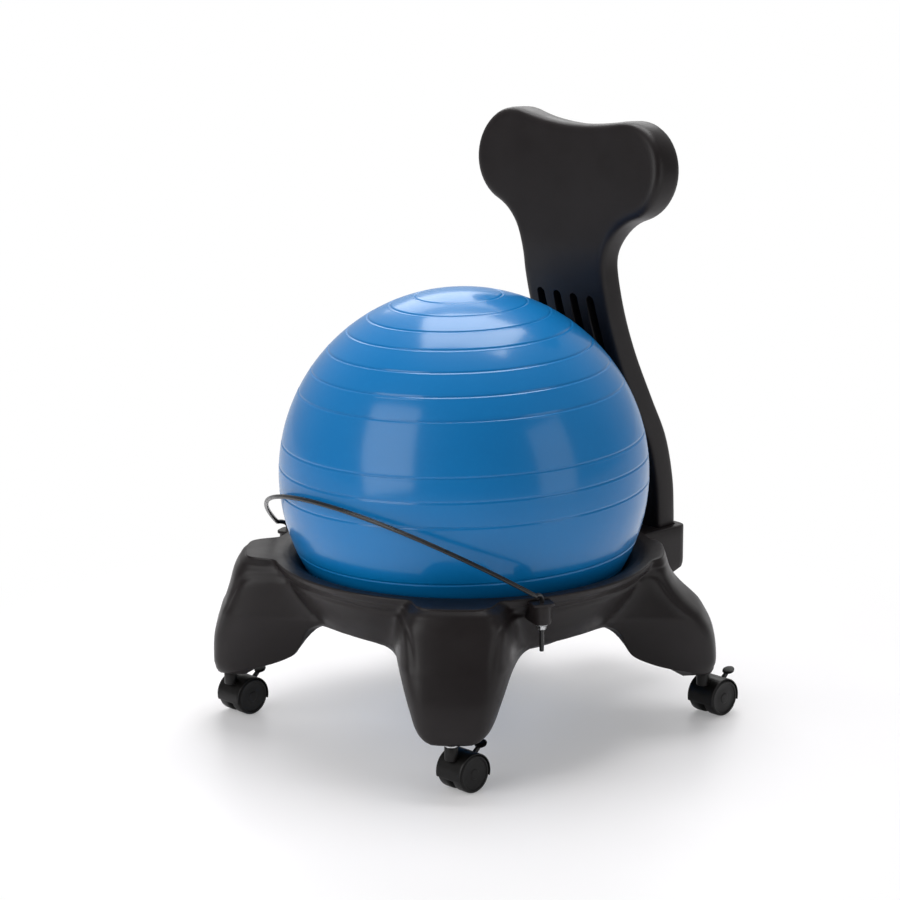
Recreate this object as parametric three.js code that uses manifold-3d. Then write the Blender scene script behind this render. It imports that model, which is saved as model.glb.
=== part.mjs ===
// A balance ball chair: an inflated ball seated in a moulded four-legged ring base on swivel
// casters, with a moulded backrest in a rear socket and a steel hoop round the front of the ball.
// Millimetres. X is the sitter's left, -Y is the front and +Z is up.

import * as THREE from 'three';
import { mergeVertices } from 'three/addons/utils/BufferGeometryUtils.js';
import Module from 'manifold-3d';

const wasm = await Module();
wasm.setup();

// Driving dimensions of the whole chair.
const ballRadius = 250;
const ballHeight = 343;
const ballSkin = 2;
const runningGap = 0.3;
const overrun = 2;

// Base ring and legs.
const rimDrop = 107;
const rimHeight = ballHeight - rimDrop;
const bowlInset = 36;
const rimGap = 12;
const rimInnerRadius = Math.sqrt(ballRadius ** 2 - rimDrop ** 2) + rimGap;
const rimRoundWidth = 10;
const ringDepth = 30;
const ringTop = Math.sqrt((ballRadius + ringDepth) ** 2 - rimDrop ** 2);
const holeInset = 100;
const holeRadius = ballRadius - holeInset;
const archDrop = 79;
const archHeight = rimHeight - archDrop;
const footHeight = 67;
const legLength = 84.25;
const legReach = ringTop + legLength;
const legHalfWidth = 75;
const mouldWall = 5;
const lipProud = 2;
const grooveDepth = 3;
const lipHeight = 9;
const grooveHeight = 7;

// Rear socket and the backrest that it holds.
const stemGap = 54;
const stemThickness = 36.5;
const stemRear = ballRadius + stemGap + stemThickness;
const stemHalfWidth = 77.5;
const stemEdge = 15;
const socketSide = 12;
const socketHalfWidth = stemHalfWidth + socketSide;
const socketWall = 10;
const socketRear = stemRear + socketWall;
const socketRoot = 18;
const socketFront = ballRadius - socketRoot;
const socketDrop = 13;
const socketTop = rimHeight - socketDrop;
const socketDepth = 73;
const socketBottom = socketTop - socketDepth;
const socketCorner = 16;
const seatDepth = 58;
const stemSeatHeight = socketTop - seatDepth;
const headThickness = 48;
const headEdge = 20;
const lobeRadius = 67.5;
const lobeSpread = 107.5;
const lobeRise = 397;
const lobeHeight = ballHeight + lobeRise;
const neckRadius = 78;
const dipDepth = 12;
const backrestWall = 4;
const ventRadius = 4;
const slotCount = 4;
const slotWidth = 14;
const slotPitch = 31.5;
const slotDrop = 173;
const slotTop = lobeHeight - slotDrop;
const slotLength = 100;
const slotDepth = 15;

// Fasteners of the backrest.
const boltSpread = 42;
const boltRise = 30;
const boltHeight = stemSeatHeight + boltRise;
const boltRadius = 4;
const boltHeadRadius = 7;
const boltHeadDepth = 4.4;
const boltLength = 26;
const boltSocketRadius = 2.9;
const washerRadius = 9;
const washerThickness = 1.6;
const insertRadius = 7;
const insertLength = 20;
const bossWall = 4;

// Steel hoop and its lugs.
const rodRadius = 3;
const hoopStandoff = 49.8;
const hoopRadius = ballRadius + hoopStandoff;
const hoopFrontGap = 3.9;
const hoopSetBack = hoopStandoff - rodRadius - hoopFrontGap;
const hoopEnd = THREE.MathUtils.degToRad(32);
const hoopDropShare = 0.7;
const hoopEndRise = 6.2;
const hoopEndPlace = hoopSetBack - hoopRadius * Math.sin(hoopEnd);
const hoopSideHeight = rimHeight + rodRadius + hoopEndRise + hoopDropShare * hoopEndPlace;
const lugOverhang = 10;
const lugReach = ringTop + lugOverhang;
const lugTurn = THREE.MathUtils.degToRad(21.8);
const lugX = lugReach * Math.cos(lugTurn);
const lugY = -lugReach * Math.sin(lugTurn);
const lugDrop = 6;
const lugTop = rimHeight - lugDrop;
const lugHeight = 26;
const lugBottom = lugTop - lugHeight;
const lugRadius = 12;
const rodTail = 37;
const rodBend = 12;
const hoopNutRadius = 6.4;
const hoopNutDepth = 5.5;
const hoopWasherRadius = 8;
const hoopWasherThickness = 1.4;

// Valve of the ball.
const valveRadius = 5;
const plugFlangeRadius = 9;
const plugFlangeDepth = 1.6;
const plugLength = 14;

// Swivel casters.
const frontStemInset = 23.4;
const frontStemReach = legReach - frontStemInset;
const rearStemInset = 16.3;
const rearStemReach = legReach - rearStemInset;
const frontLegToe = THREE.MathUtils.degToRad(1.5);
const trail = 21;
const wheelRadius = 25;
const wheelWidth = 18;
const webThickness = 8;
const hoodWall = 1.6;
const hoodGap = 0.8;
const hoodSkirtHeight = 18;
const axleRadius = 3;
const pinRadius = 5.5;
const pinLength = 34;
const pinCollarRadius = 8.5;
const pinCollarDepth = 2.4;
const shankLength = 14;
const sleeveWall = 1.8;
const sleeveFlangeRadius = 9.5;
const sleeveFlangeDepth = 1.6;
const gripWall = 0.9;
const gripLength = 6;
const pedalWidth = 14;
const pedalLength = 14;
const pedalThickness = 4.2;
const pedalReach = 30;
const pedalRise = 53;
const pedalArmWidth = 4.4;
const pedalArmDepth = 6;
const pedalPivotReach = 12;
const pedalPivotRise = 12;
const pedalPinRadius = 1.5;

// Facets round a full turn.
const ballSides = 36;
const wheelSides = 20;
const turnedSides = 12;
const smallSides = 8;

const weld = 1e-4;
const finestEdge = 0.05;
const finestHeight = 0.02;
const mendPasses = 12;
const legTurn = Math.PI / 4;

// Colours and finishes.
const finish = {
  base: new THREE.MeshStandardMaterial({ color: 0x242324, roughness: 0.45, metalness: 0 }),
  ball: new THREE.MeshStandardMaterial({ color: 0x1673b4, roughness: 0.32, metalness: 0 }),
  plug: new THREE.MeshStandardMaterial({ color: 0xd9dde0, roughness: 0.5, metalness: 0 }),
  caster: new THREE.MeshStandardMaterial({ color: 0x151515, roughness: 0.4, metalness: 0 }),
  rod: new THREE.MeshStandardMaterial({ color: 0x17181a, roughness: 0.35, metalness: 0.3 }),
  zinc: new THREE.MeshStandardMaterial({ color: 0xc4c6c8, roughness: 0.3, metalness: 1 }),
};

// Smooth value at x through a short list of [place, value] pairs, level beyond its ends.
function along(table, x) {
  const last = table.length - 1;
  if (x <= table[0][0]) return table[0][1];
  if (x >= table[last][0]) return table[last][1];
  let i = 0;
  while (table[i + 1][0] < x) i += 1;
  const slope = (k) => {
    const a = table[Math.max(k - 1, 0)];
    const b = table[Math.min(k + 1, last)];
    return (b[1] - a[1]) / (b[0] - a[0]);
  };
  const [x0, y0] = table[i];
  const [x1, y1] = table[i + 1];
  const span = x1 - x0;
  const t = (x - x0) / span;
  const rise = t * t * (3 - 2 * t);
  return y0 + (y1 - y0) * rise
    + span * (slope(i) * t * (1 - t) * (1 - t) - slope(i + 1) * t * t * (1 - t));
}

const lerp = THREE.MathUtils.lerp;

// Welds a closed surface, drops triangles that have no area and turns its faces outwards.
function closedSurface(geometry) {
  for (const name of ['normal', 'uv']) geometry.deleteAttribute(name);
  const welded = mergeVertices(geometry, weld);
  const place = welded.attributes.position;
  const corner = [new THREE.Vector3(), new THREE.Vector3(), new THREE.Vector3()];
  const kept = [];
  let volume = 0;
  for (let i = 0; i < welded.index.count; i += 3) {
    const ids = [0, 1, 2].map((k) => welded.index.getX(i + k));
    if (new Set(ids).size < ids.length) continue;
    ids.forEach((id, k) => corner[k].fromBufferAttribute(place, id));
    volume += corner[0].dot(corner[1].cross(corner[2]));
    kept.push(ids);
  }
  const order = volume < 0 ? [0, 2, 1] : [0, 1, 2];
  welded.setIndex(kept.flatMap((ids) => order.map((k) => ids[k])));
  return welded;
}

function toSolid(geometry) {
  const surface = closedSurface(geometry);
  return new wasm.Manifold(new wasm.Mesh({
    numProp: 3,
    vertProperties: new Float32Array(surface.attributes.position.array),
    triVerts: new Uint32Array(surface.index.array),
  }));
}

function toGeometry(solid) {
  const mesh = solid.getMesh();
  const geometry = new THREE.BufferGeometry();
  geometry.setAttribute('position', new THREE.BufferAttribute(new Float32Array(mesh.vertProperties), 3));
  geometry.setIndex(new THREE.BufferAttribute(new Uint32Array(mesh.triVerts), 1));
  return geometry;
}

// The triangle's sides, longest first, each with its length and the place of its first corner.
function sidesOf(places, ids) {
  const sides = [0, 1, 2].map((k) => [places[ids[k]].distanceTo(places[ids[(k + 1) % 3]]), k]);
  return sides.sort((a, b) => b[0] - a[0]);
}

// Draws together the ends of sides that are too short, and drops the triangles that close up.
function withoutShortSides(places, faces) {
  const moved = places.map((_, i) => i);
  const touched = new Set();
  for (const ids of faces) {
    const [length, k] = sidesOf(places, ids)[2];
    const [a, b] = [ids[k], ids[(k + 1) % 3]];
    if (length > finestEdge || touched.has(a) || touched.has(b)) continue;
    moved[b] = a;
    touched.add(a).add(b);
  }
  const kept = faces.map((ids) => ids.map((i) => moved[i]));
  return kept.filter((ids) => new Set(ids).size === 3);
}

// Swaps the long side that a flat sliver shares with its neighbour for the other diagonal.
function withoutFlatSlivers(places, faces) {
  const across = new Map();
  const sideName = (a, b) => `${a} ${b}`;
  faces.forEach((ids, f) => ids.forEach((a, k) => across.set(sideName(a, ids[(k + 1) % 3]), f)));
  const kept = faces.map((ids) => [...ids]);
  const changed = new Set();
  const triangle = new THREE.Triangle();
  faces.forEach((ids, f) => {
    const [length, k] = sidesOf(places, ids)[0];
    triangle.set(...ids.map((i) => places[i]));
    if ((triangle.getArea() * 2) / length > finestHeight) return;
    const [u, v, w] = [ids[k], ids[(k + 1) % 3], ids[(k + 2) % 3]];
    const g = across.get(sideName(v, u));
    if (changed.has(f) || changed.has(g)) return;
    const x = faces[g].find((i) => i !== u && i !== v);
    if (across.has(sideName(w, x)) || across.has(sideName(x, w))) return;
    kept[f] = [w, u, x];
    kept[g] = [x, v, w];
    across.set(sideName(x, w), f).set(sideName(w, x), g);
    changed.add(f).add(g);
  });
  return kept;
}

// Clears what a cut leaves behind: sides and triangles too fine to keep.
function mended(geometry) {
  const place = geometry.attributes.position;
  const places = Array.from({ length: place.count }, (_, i) => (
    new THREE.Vector3().fromBufferAttribute(place, i)));
  const index = Array.from(geometry.index.array);
  let faces = Array.from({ length: index.length / 3 }, (_, f) => index.slice(f * 3, f * 3 + 3));
  for (let pass = 0; pass < mendPasses; pass += 1) {
    faces = withoutFlatSlivers(places, withoutShortSides(places, faces));
  }
  geometry.setIndex(faces.flat());
  return geometry;
}

// Joins the first group of geometries and takes the second group away from them.
function carve(joined, taken) {
  let solid = toSolid(joined[0]);
  for (const piece of joined.slice(1)) solid = solid.add(toSolid(piece));
  for (const piece of taken) solid = solid.subtract(toSolid(piece));
  return mended(toGeometry(solid));
}

// Revolves [radius, height] pairs round the vertical axis.
function turned(profile, sides) {
  const points = profile.map(([r, z]) => new THREE.Vector2(r, z));
  return closedSurface(new THREE.LatheGeometry(points, sides).rotateX(Math.PI / 2));
}

function tube(inner, outer, low, high, sides) {
  return turned([[inner, low], [outer, low], [outer, high], [inner, high], [inner, low]], sides);
}

function disc(radius, low, high, sides) {
  return turned([[0, low], [radius, low], [radius, high], [0, high]], sides);
}

// Extrudes an outline of [across, up] pairs in the YZ plane, centred on X = 0.
function slab(shape, width) {
  const solid = new THREE.ExtrudeGeometry(shape, { depth: width, bevelEnabled: false, curveSegments: 6 });
  solid.translate(0, 0, -width / 2);
  solid.applyMatrix4(new THREE.Matrix4().set(0, 0, 1, 0, 1, 0, 0, 0, 0, 1, 0, 0, 0, 0, 0, 1));
  return closedSurface(solid);
}

function box(x0, x1, y0, y1, z0, z1) {
  const block = new THREE.BoxGeometry(x1 - x0, y1 - y0, z1 - z0);
  return closedSurface(block.translate((x0 + x1) / 2, (y0 + y1) / 2, (z0 + z1) / 2));
}

// Joins rows of points into one closed surface: each row is a ring, and the rows either join
// end to end or close to a line at both ends.
function loft(rows, joinEnds) {
  const places = rows.flatMap((row) => row.flatMap((p) => [p.x, p.y, p.z]));
  const ring = rows[0].length;
  const faces = [];
  const bands = joinEnds ? rows.length : rows.length - 1;
  for (let j = 0; j < bands; j += 1) {
    const next = (j + 1) % rows.length;
    for (let i = 0; i < ring; i += 1) {
      const k = (i + 1) % ring;
      const a = j * ring + i;
      const b = j * ring + k;
      const c = next * ring + k;
      const d = next * ring + i;
      faces.push(a, b, c, a, c, d);
    }
  }
  const geometry = new THREE.BufferGeometry();
  geometry.setAttribute('position', new THREE.Float32BufferAttribute(places, 3));
  geometry.setIndex(faces);
  return closedSurface(geometry);
}

// Shares of the leg's height from foot to rim, paired with shares of its reach beyond the ring.
const frontReachShares = [[0, 0.93], [0.03, 0.98], [0.11, 1], [0.3, 0.985], [0.43, 0.92],
  [0.54, 0.84], [0.73, 0.72], [0.866, 0.64], [0.95, 0.53], [1, 0.4]];
const rearReachShares = [[0, 0.955], [0.03, 1.005], [0.17, 1.03], [0.36, 0.965], [0.485, 0.83],
  [0.58, 0.68], [0.67, 0.49], [0.75, 0.35], [0.825, 0.26], [0.92, 0.18], [1, 0.08]];
const flankShares = [[0, 0.53], [0.025, 0.61], [0.07, 0.705], [0.21, 0.82], [0.355, 0.92],
  [0.53, 1.01], [0.73, 1.035], [0.86, 1], [0.94, 0.885], [1, 0.72]];

// Height of the lower edge, as a share from foot to arch, at degrees from the leg's middle, and
// the place where that edge meets the underside, counted along undersideShares.
const edgeShares = [[0, 0], [5, 0], [6.5, 0.035], [8.9, 0.11], [11, 0.18], [12.9, 0.27],
  [15.1, 0.4], [17.1, 0.575], [19, 0.75], [21, 0.86], [24, 0.93], [28, 0.97], [45, 0.995]];
const edgePlaceShares = [[0, 0], [5, 0], [6.5, 0.5], [8.9, 1.6], [11, 2.9], [12.9, 3.9],
  [15.1, 4.9], [17.1, 5.75], [19, 6.6], [21, 7.3], [24, 8], [45, 8]];

// The underside from the foot's outer edge to the hole: shares of the way out from the hole to
// the leg's reach, and of the way up from the foot to the arch.
const undersideShares = [[0.938, 0], [0.777, 0], [0.7, 0.075], [0.59, 0.155], [0.482, 0.25],
  [0.389, 0.375], [0.326, 0.56], [0.285, 0.77], [0.223, 0.9], [0.119, 0.85], [0.02, 0.72]];

// Where the columns of the base stand between a leg's middle and the next arch's middle.
const columnShares = [0, 0.09, 0.145, 0.19, 0.235, 0.28, 0.325, 0.37, 0.42, 0.49, 0.65, 0.82];
const wallShares = [0.18, 0.38, 0.58, 0.78, 0.92, 1];
const underShares = [0.1, 0.25, 0.42, 0.62, 0.8, 1];
const bowlShares = [0, 0.3, 0.65, 1];
const hollowEndShare = 0.5;

const bowlRadius = ballRadius + runningGap * 3;
const rimSharpness = 40;
const flankSharpness = 7;

// Height on the bowl, which follows the ball, at a distance from the axis.
function bowlHeight(radius, inset) {
  return ballHeight - Math.sqrt((bowlRadius + inset) ** 2 - radius ** 2);
}

// Distance from the axis to the outer skin: the ring and the leg run smoothly into each other.
function skinRadius(fromLeg, height, rear, inset) {
  const share = (height - footHeight) / (rimHeight - footHeight);
  const ring = Math.sqrt(Math.max((ballRadius + ringDepth - inset) ** 2 - (ballHeight - height) ** 2, 0));
  const reachShares = rear ? rearReachShares : frontReachShares;
  const reach = lerp(ringTop, legReach, along(reachShares, share)) - inset;
  const halfWidth = legHalfWidth * along(flankShares, share) - inset;
  const narrow = (Math.sin(fromLeg) * reach) / halfWidth;
  const leg = reach / (1 + narrow ** flankSharpness) ** (1 / flankSharpness);
  const skin = (leg ** rimSharpness + ring ** rimSharpness) ** (1 / rimSharpness);
  const below = rimHeight - height;
  const lipTable = [[0, lipProud], [lipHeight, lipProud], [lipHeight + grooveHeight, -grooveDepth],
    [lipHeight + grooveHeight * 3, 0]];
  return skin + (inset > 0 ? 0 : along(lipTable, below));
}

// One upright section through the base, as [radius, height] pairs from the hole's edge up the
// bowl, over the rim, down the skin and back along the underside.
function baseSection(fromLeg, rear, inset) {
  const degrees = THREE.MathUtils.radToDeg(fromLeg);
  const top = rimHeight - inset;
  const edge = lerp(footHeight, archHeight, Math.max(along(edgeShares, degrees), 0)) + inset;
  const hole = holeRadius + inset * 3;
  const points = [];
  for (const share of bowlShares) {
    const radius = lerp(hole, ballRadius - bowlInset - inset, share);
    points.push([radius, bowlHeight(radius, inset)]);
  }
  points.push([rimInnerRadius - rimRoundWidth + inset, top - rimRoundWidth * 0.8]);
  points.push([rimInnerRadius + inset, top - rimRoundWidth * 0.2]);
  points.push([rimInnerRadius + rimRoundWidth * 0.8 + inset, top]);
  const lipEdge = rimHeight - lipHeight;
  const groove = lipEdge - grooveHeight;
  const wallTop = groove - grooveHeight * 2;
  for (const height of [rimHeight, rimHeight - lipHeight / 2, lipEdge, groove, wallTop]) {
    const level = Math.min(height, top);
    const ease = height === rimHeight ? lipHeight / 3 : 0;
    points.push([skinRadius(fromLeg, level, rear, inset) - ease, level - (inset > 0 ? ease : 0)]);
  }
  for (const share of wallShares) {
    const height = lerp(wallTop, edge, share);
    points.push([skinRadius(fromLeg, height, rear, inset), height]);
  }
  const start = along(edgePlaceShares, degrees);
  const lastPlace = undersideShares.length - 1;
  const end = inset > 0 ? lastPlace - hollowEndShare : lastPlace;
  for (const share of underShares) {
    const place = lerp(start, end, share);
    const index = Math.min(Math.floor(place), undersideShares.length - 2);
    const [outA, upA] = undersideShares[index];
    const [outB, upB] = undersideShares[index + 1];
    const out = lerp(outA, outB, place - index);
    const up = lerp(upA, upB, place - index);
    points.push([Math.max(lerp(holeRadius, legReach, out) + inset * 0.5, hole),
      lerp(footHeight, archHeight, up) + inset * 1.4]);
  }
  return points;
}

const legs = [
  { name: 'rear_left', middle: legTurn, rear: true },
  { name: 'rear_right', middle: legTurn * 3, rear: true },
  { name: 'front_right', middle: legTurn * 5 + frontLegToe, rear: false },
  { name: 'front_left', middle: legTurn * 7 - frontLegToe, rear: false },
];

// Where the caster's stem stands in a leg.
function stemPlace(leg) {
  const radius = leg.rear ? rearStemReach : frontStemReach;
  return [radius * Math.cos(leg.middle), radius * Math.sin(leg.middle), 0];
}

// The closed skin of ring and legs. An inset gives the hollow inside it, which takes every
// other row down to the lower edge.
function baseSkin(inset) {
  const rows = [];
  legs.forEach((leg, place) => {
    for (const side of [-1, 1]) {
      const arch = legTurn * (place * 2 + 1 + side);
      const ordered = side < 0 ? [1, ...columnShares.slice(1).reverse()] : columnShares;
      for (const share of ordered) {
        const angle = lerp(leg.middle, arch, share);
        const section = baseSection(share * legTurn, leg.rear, inset);
        const under = section.length - underShares.length;
        const kept = section.filter((pair, i) => inset === 0 || i >= under || i % 2 === 0);
        rows.push(kept.map(([r, z]) => new THREE.Vector3(
          r * Math.cos(angle), r * Math.sin(angle), z)));
      }
    }
  });
  return loft(rows, true);
}

const sleeveInner = pinRadius + runningGap;
const sleeveOuter = sleeveInner + sleeveWall;
const sleeveTop = footHeight + pinLength + runningGap * 3;

// A rounded upright block behind the ring, with a mouth for the backrest's stem.
function socketOutline(halfWidth, front, rear, corner) {
  const shape = new THREE.Shape();
  shape.moveTo(-halfWidth, front);
  shape.lineTo(halfWidth, front);
  shape.lineTo(halfWidth, rear - corner);
  shape.absarc(halfWidth - corner, rear - corner, corner, 0, Math.PI / 2);
  shape.lineTo(corner - halfWidth, rear);
  shape.absarc(corner - halfWidth, rear - corner, corner, Math.PI / 2, Math.PI);
  shape.lineTo(-halfWidth, front);
  return shape;
}

function upright(shape, low, high) {
  const solid = new THREE.ExtrudeGeometry(shape, {
    depth: high - low, bevelEnabled: false, curveSegments: 5,
  });
  return closedSurface(solid.translate(0, 0, low));
}

const stemFront = stemRear - stemThickness;

function stemMouth() {
  const half = stemHalfWidth + runningGap;
  const shape = new THREE.Shape();
  const corner = stemEdge / 3;
  const front = stemFront - runningGap;
  const rear = stemRear + runningGap;
  shape.moveTo(corner - half, front);
  shape.lineTo(half - corner, front);
  shape.absarc(half - corner, front + corner, corner, -Math.PI / 2, 0);
  shape.lineTo(half, rear - corner);
  shape.absarc(half - corner, rear - corner, corner, 0, Math.PI / 2);
  shape.lineTo(corner - half, rear);
  shape.absarc(corner - half, rear - corner, corner, Math.PI / 2, Math.PI);
  shape.lineTo(-half, front + corner);
  shape.absarc(corner - half, front + corner, corner, Math.PI, Math.PI * 1.5);
  return upright(shape, stemSeatHeight - runningGap, socketTop + overrun);
}

// The lower end of the socket slopes in towards the ring.
function socketSlope() {
  const shape = new THREE.Shape();
  shape.moveTo(socketFront, socketBottom);
  shape.lineTo(socketRear - stemThickness, socketBottom);
  shape.lineTo(socketRear, stemSeatHeight);
  shape.lineTo(socketRear + overrun, stemSeatHeight);
  shape.lineTo(socketRear + overrun, socketBottom - overrun);
  shape.lineTo(socketFront, socketBottom - overrun);
  return slab(shape, socketHalfWidth * 2 + overrun);
}

function baseFrame() {
  const bosses = [];
  const bores = [];
  const ribs = [];
  for (const leg of legs) {
    const place = stemPlace(leg);
    ribs.push(disc(sleeveOuter + bossWall, footHeight, sleeveTop + bossWall, turnedSides)
      .translate(...place));
    bores.push(disc(sleeveOuter + runningGap, footHeight - overrun, sleeveTop + runningGap, turnedSides)
      .translate(...place));
  }
  for (const side of [-1, 1]) {
    bosses.push(disc(lugRadius, lugBottom, lugTop, turnedSides).translate(side * lugX, lugY, 0));
    const lugHalf = lugRadius * 0.85;
    const web = box(lugReach - lugRadius * 3, lugReach, -lugHalf, lugHalf, lugBottom, lugTop);
    bosses.push(web.rotateZ(Math.atan2(lugY, side * lugX)));
    bores.push(disc(rodRadius + runningGap, lugBottom - overrun, rimHeight + overrun, smallSides)
      .translate(side * lugX, lugY, 0));
    const bolt = disc(boltRadius + runningGap, 0, socketRear, smallSides).rotateX(-Math.PI / 2);
    bores.push(bolt.translate(side * boltSpread, stemFront + stemThickness / 2, boltHeight));
  }
  const socket = carve([upright(
    socketOutline(socketHalfWidth, socketFront, socketRear, socketCorner), socketBottom, socketTop)],
  [socketSlope()]);
  const vent = disc(ventRadius, footHeight, archHeight, smallSides)
    .translate(0, (holeRadius + ballRadius - bowlInset) / 2 + mouldWall, 0);
  const hollow = carve([baseSkin(mouldWall)], ribs);
  return carve([carve([baseSkin(0)], [hollow]), socket, ...bosses], [stemMouth(), ...bores, vent]);
}

// Middle surface of the backrest, as [height, distance back] pairs worked out from the seat in
// the socket, the lean of the stem and the lean of the head.
const stemMiddle = stemRear - stemThickness / 2;
const backLeanShares = [[0.11, 0], [0.19, 0.03], [0.285, 0.155], [0.37, 0.38], [0.475, 0.655],
  [0.565, 0.84], [0.655, 0.965], [0.715, 1], [0.76, 0.985], [0.9, 0.905], [1, 0.83]];
const backForward = 122;
const backTop = lobeHeight + lobeRadius;

function backMiddle(height) {
  const share = (height - stemSeatHeight) / (backTop - stemSeatHeight);
  return stemMiddle - backForward * along(backLeanShares, share);
}

// Outline of the backrest, as two paths: up one side from the foot to the lobe's shoulder, and
// over the top from one shoulder to the other.
function backOutline(inset) {
  const lobe = lobeRadius - inset;
  const neck = neckRadius + inset;
  const stem = stemHalfWidth - inset;
  const neckX = stem + neck;
  const neckZ = lobeHeight - Math.sqrt((lobe + neck) ** 2 - (neckX - lobeSpread) ** 2);
  const turn = Math.atan2(neckZ - lobeHeight, neckX - lobeSpread);
  const shoulder = THREE.MathUtils.degToRad(48);
  const dip = lobeRadius - dipDepth - inset;
  const dipRadius = (lobeSpread ** 2 + dip ** 2 - lobe ** 2) / (2 * (lobe - dip));
  const dipTurn = Math.atan2(dip + dipRadius, -lobeSpread);
  const side = new THREE.Path();
  side.moveTo(stem, stemSeatHeight + inset);
  side.lineTo(stem, neckZ);
  side.absarc(neckX, neckZ, neck, Math.PI, Math.PI + turn, true);
  side.absarc(lobeSpread, lobeHeight, lobe, turn, shoulder, false);
  const top = new THREE.Path();
  top.absarc(lobeSpread, lobeHeight, lobe, shoulder, dipTurn, false);
  top.absarc(0, lobeHeight + dip + dipRadius, dipRadius, dipTurn - Math.PI, -dipTurn, true);
  top.absarc(-lobeSpread, lobeHeight, lobe, Math.PI - dipTurn, Math.PI - shoulder, false);
  return { side, top };
}

const backRowShares = [0, 0.004, 0.012, 0.03, 0.09, 0.15, 0.21, 0.27, 0.33, 0.39, 0.45, 0.51,
  0.57, 0.62, 0.66, 0.7, 0.74, 0.78, 0.82, 0.86, 0.9, 0.93, 0.955, 0.975, 0.99, 0.997, 1];
const backColumnShares = [-1, -0.985, -0.93, -0.83, -0.695, -0.48, -0.25, 0, 0.25, 0.48, 0.695, 0.83,
  0.93, 0.985, 1];

// A point of the backrest's face outline plane, from side to side and from foot to top.
function backPlace(outline, across, up) {
  const right = outline.side.getPointAt(up);
  const top = outline.top.getPointAt((1 - across) / 2);
  const foot = outline.side.getPointAt(0);
  const corner = outline.side.getPointAt(1);
  const share = up ** 6;
  const x = across * right.x + share * (top.x - across * corner.x);
  const z = right.y + share * (top.y - corner.y);
  return new THREE.Vector2(x, Math.max(z, foot.y));
}

// Least distance from a point to the outline.
function edgeDistance(rim, point) {
  let least = Infinity;
  for (let i = 0; i < rim.length; i += 1) {
    const a = rim[i];
    const b = rim[(i + 1) % rim.length];
    const run = b.clone().sub(a);
    const t = THREE.MathUtils.clamp(point.clone().sub(a).dot(run) / run.lengthSq(), 0, 1);
    least = Math.min(least, point.distanceTo(a.clone().addScaledVector(run, t)));
  }
  return least;
}

const edgeSquareness = 3.4;

function backSkin(inset) {
  const outline = backOutline(inset);
  const sidePoints = backRowShares.map((share) => outline.side.getPointAt(share));
  const topPoints = backColumnShares.map((share) => outline.top.getPointAt((1 - share) / 2)).reverse();
  const mirrored = sidePoints.map((p) => new THREE.Vector2(-p.x, p.y)).reverse();
  const rim = [...sidePoints, ...topPoints.slice(1, -1), ...mirrored];
  const rows = backRowShares.map((up) => {
    const faces = [1, -1].map((face) => backColumnShares.map((across) => {
      const place = backPlace(outline, across, up);
      const rise = THREE.MathUtils.smoothstep(place.y, lobeHeight - lobeRadius - neckRadius, lobeHeight);
      const half = lerp(stemThickness, headThickness, rise) / 2 - inset;
      const round = lerp(stemEdge, headEdge, rise) - inset;
      const deep = 1 - Math.min(edgeDistance(rim, place), round) / round;
      const onEdge = Math.abs(across) === 1 || up === 0 || up === 1;
      const swell = onEdge ? 0 : (1 - deep ** edgeSquareness) ** (1 / edgeSquareness);
      const step = stemEdge / 2;
      const lean = Math.atan((backMiddle(place.y + step) - backMiddle(place.y - step)) / (2 * step));
      const out = half * swell * face;
      return new THREE.Vector3(place.x, backMiddle(place.y) + out * Math.cos(lean),
        place.y - out * Math.sin(lean));
    }));
    return [...faces[0], ...faces[1].slice(1, -1).reverse()];
  });
  return loft(rows, false);
}

function backrest() {
  const slots = [];
  const slotLands = [];
  const slotWidths = [slotWidth, slotWidth + backrestWall * 2];
  for (let i = 0; i < slotCount; i += 1) {
    const x = (i - (slotCount - 1) / 2) * slotPitch;
    [slots, slotLands].forEach((list, k) => {
      const half = slotWidths[k] / 2;
      const shape = new THREE.Shape();
      shape.moveTo(x - half, slotTop - slotLength);
      shape.lineTo(x + half, slotTop - slotLength);
      shape.lineTo(x + half, slotTop - half);
      shape.absarc(x, slotTop - half + k * backrestWall, half, 0, Math.PI);
      shape.lineTo(x - half, slotTop - slotLength);
      const depth = slotDepth + k * backrestWall + stemThickness;
      const cut = new THREE.ExtrudeGeometry(shape, { depth, bevelEnabled: false, curveSegments: 5 });
      const middle = slotTop - slotLength / 2;
      const slope = Math.atan2(backMiddle(slotTop) - backMiddle(slotTop - slotLength), slotLength);
      const face = backMiddle(middle) - stemThickness / 2;
      cut.rotateX(Math.PI / 2).translate(0, slotDepth + k * backrestWall, -middle);
      cut.rotateX(-slope).translate(0, face, middle);
      list.push(cut);
    });
  }
  const inserts = [];
  const bosses = [];
  for (const side of [-1, 1]) {
    const place = [side * boltSpread, stemRear - insertLength, boltHeight];
    const reach = insertLength + overrun;
    inserts.push(disc(insertRadius + runningGap, -runningGap, reach, turnedSides)
      .rotateX(-Math.PI / 2).translate(...place));
    bosses.push(disc(insertRadius + bossWall, -stemThickness, reach, turnedSides)
      .rotateX(-Math.PI / 2).translate(...place));
  }
  const hollow = carve([backSkin(backrestWall)], [...slotLands, ...bosses]);
  const vent = disc(ventRadius, stemSeatHeight - overrun, stemSeatHeight + stemThickness, smallSides)
    .translate(0, stemMiddle, 0);
  return carve([backSkin(0)], [hollow, ...slots, ...inserts, vent]);
}

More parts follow.
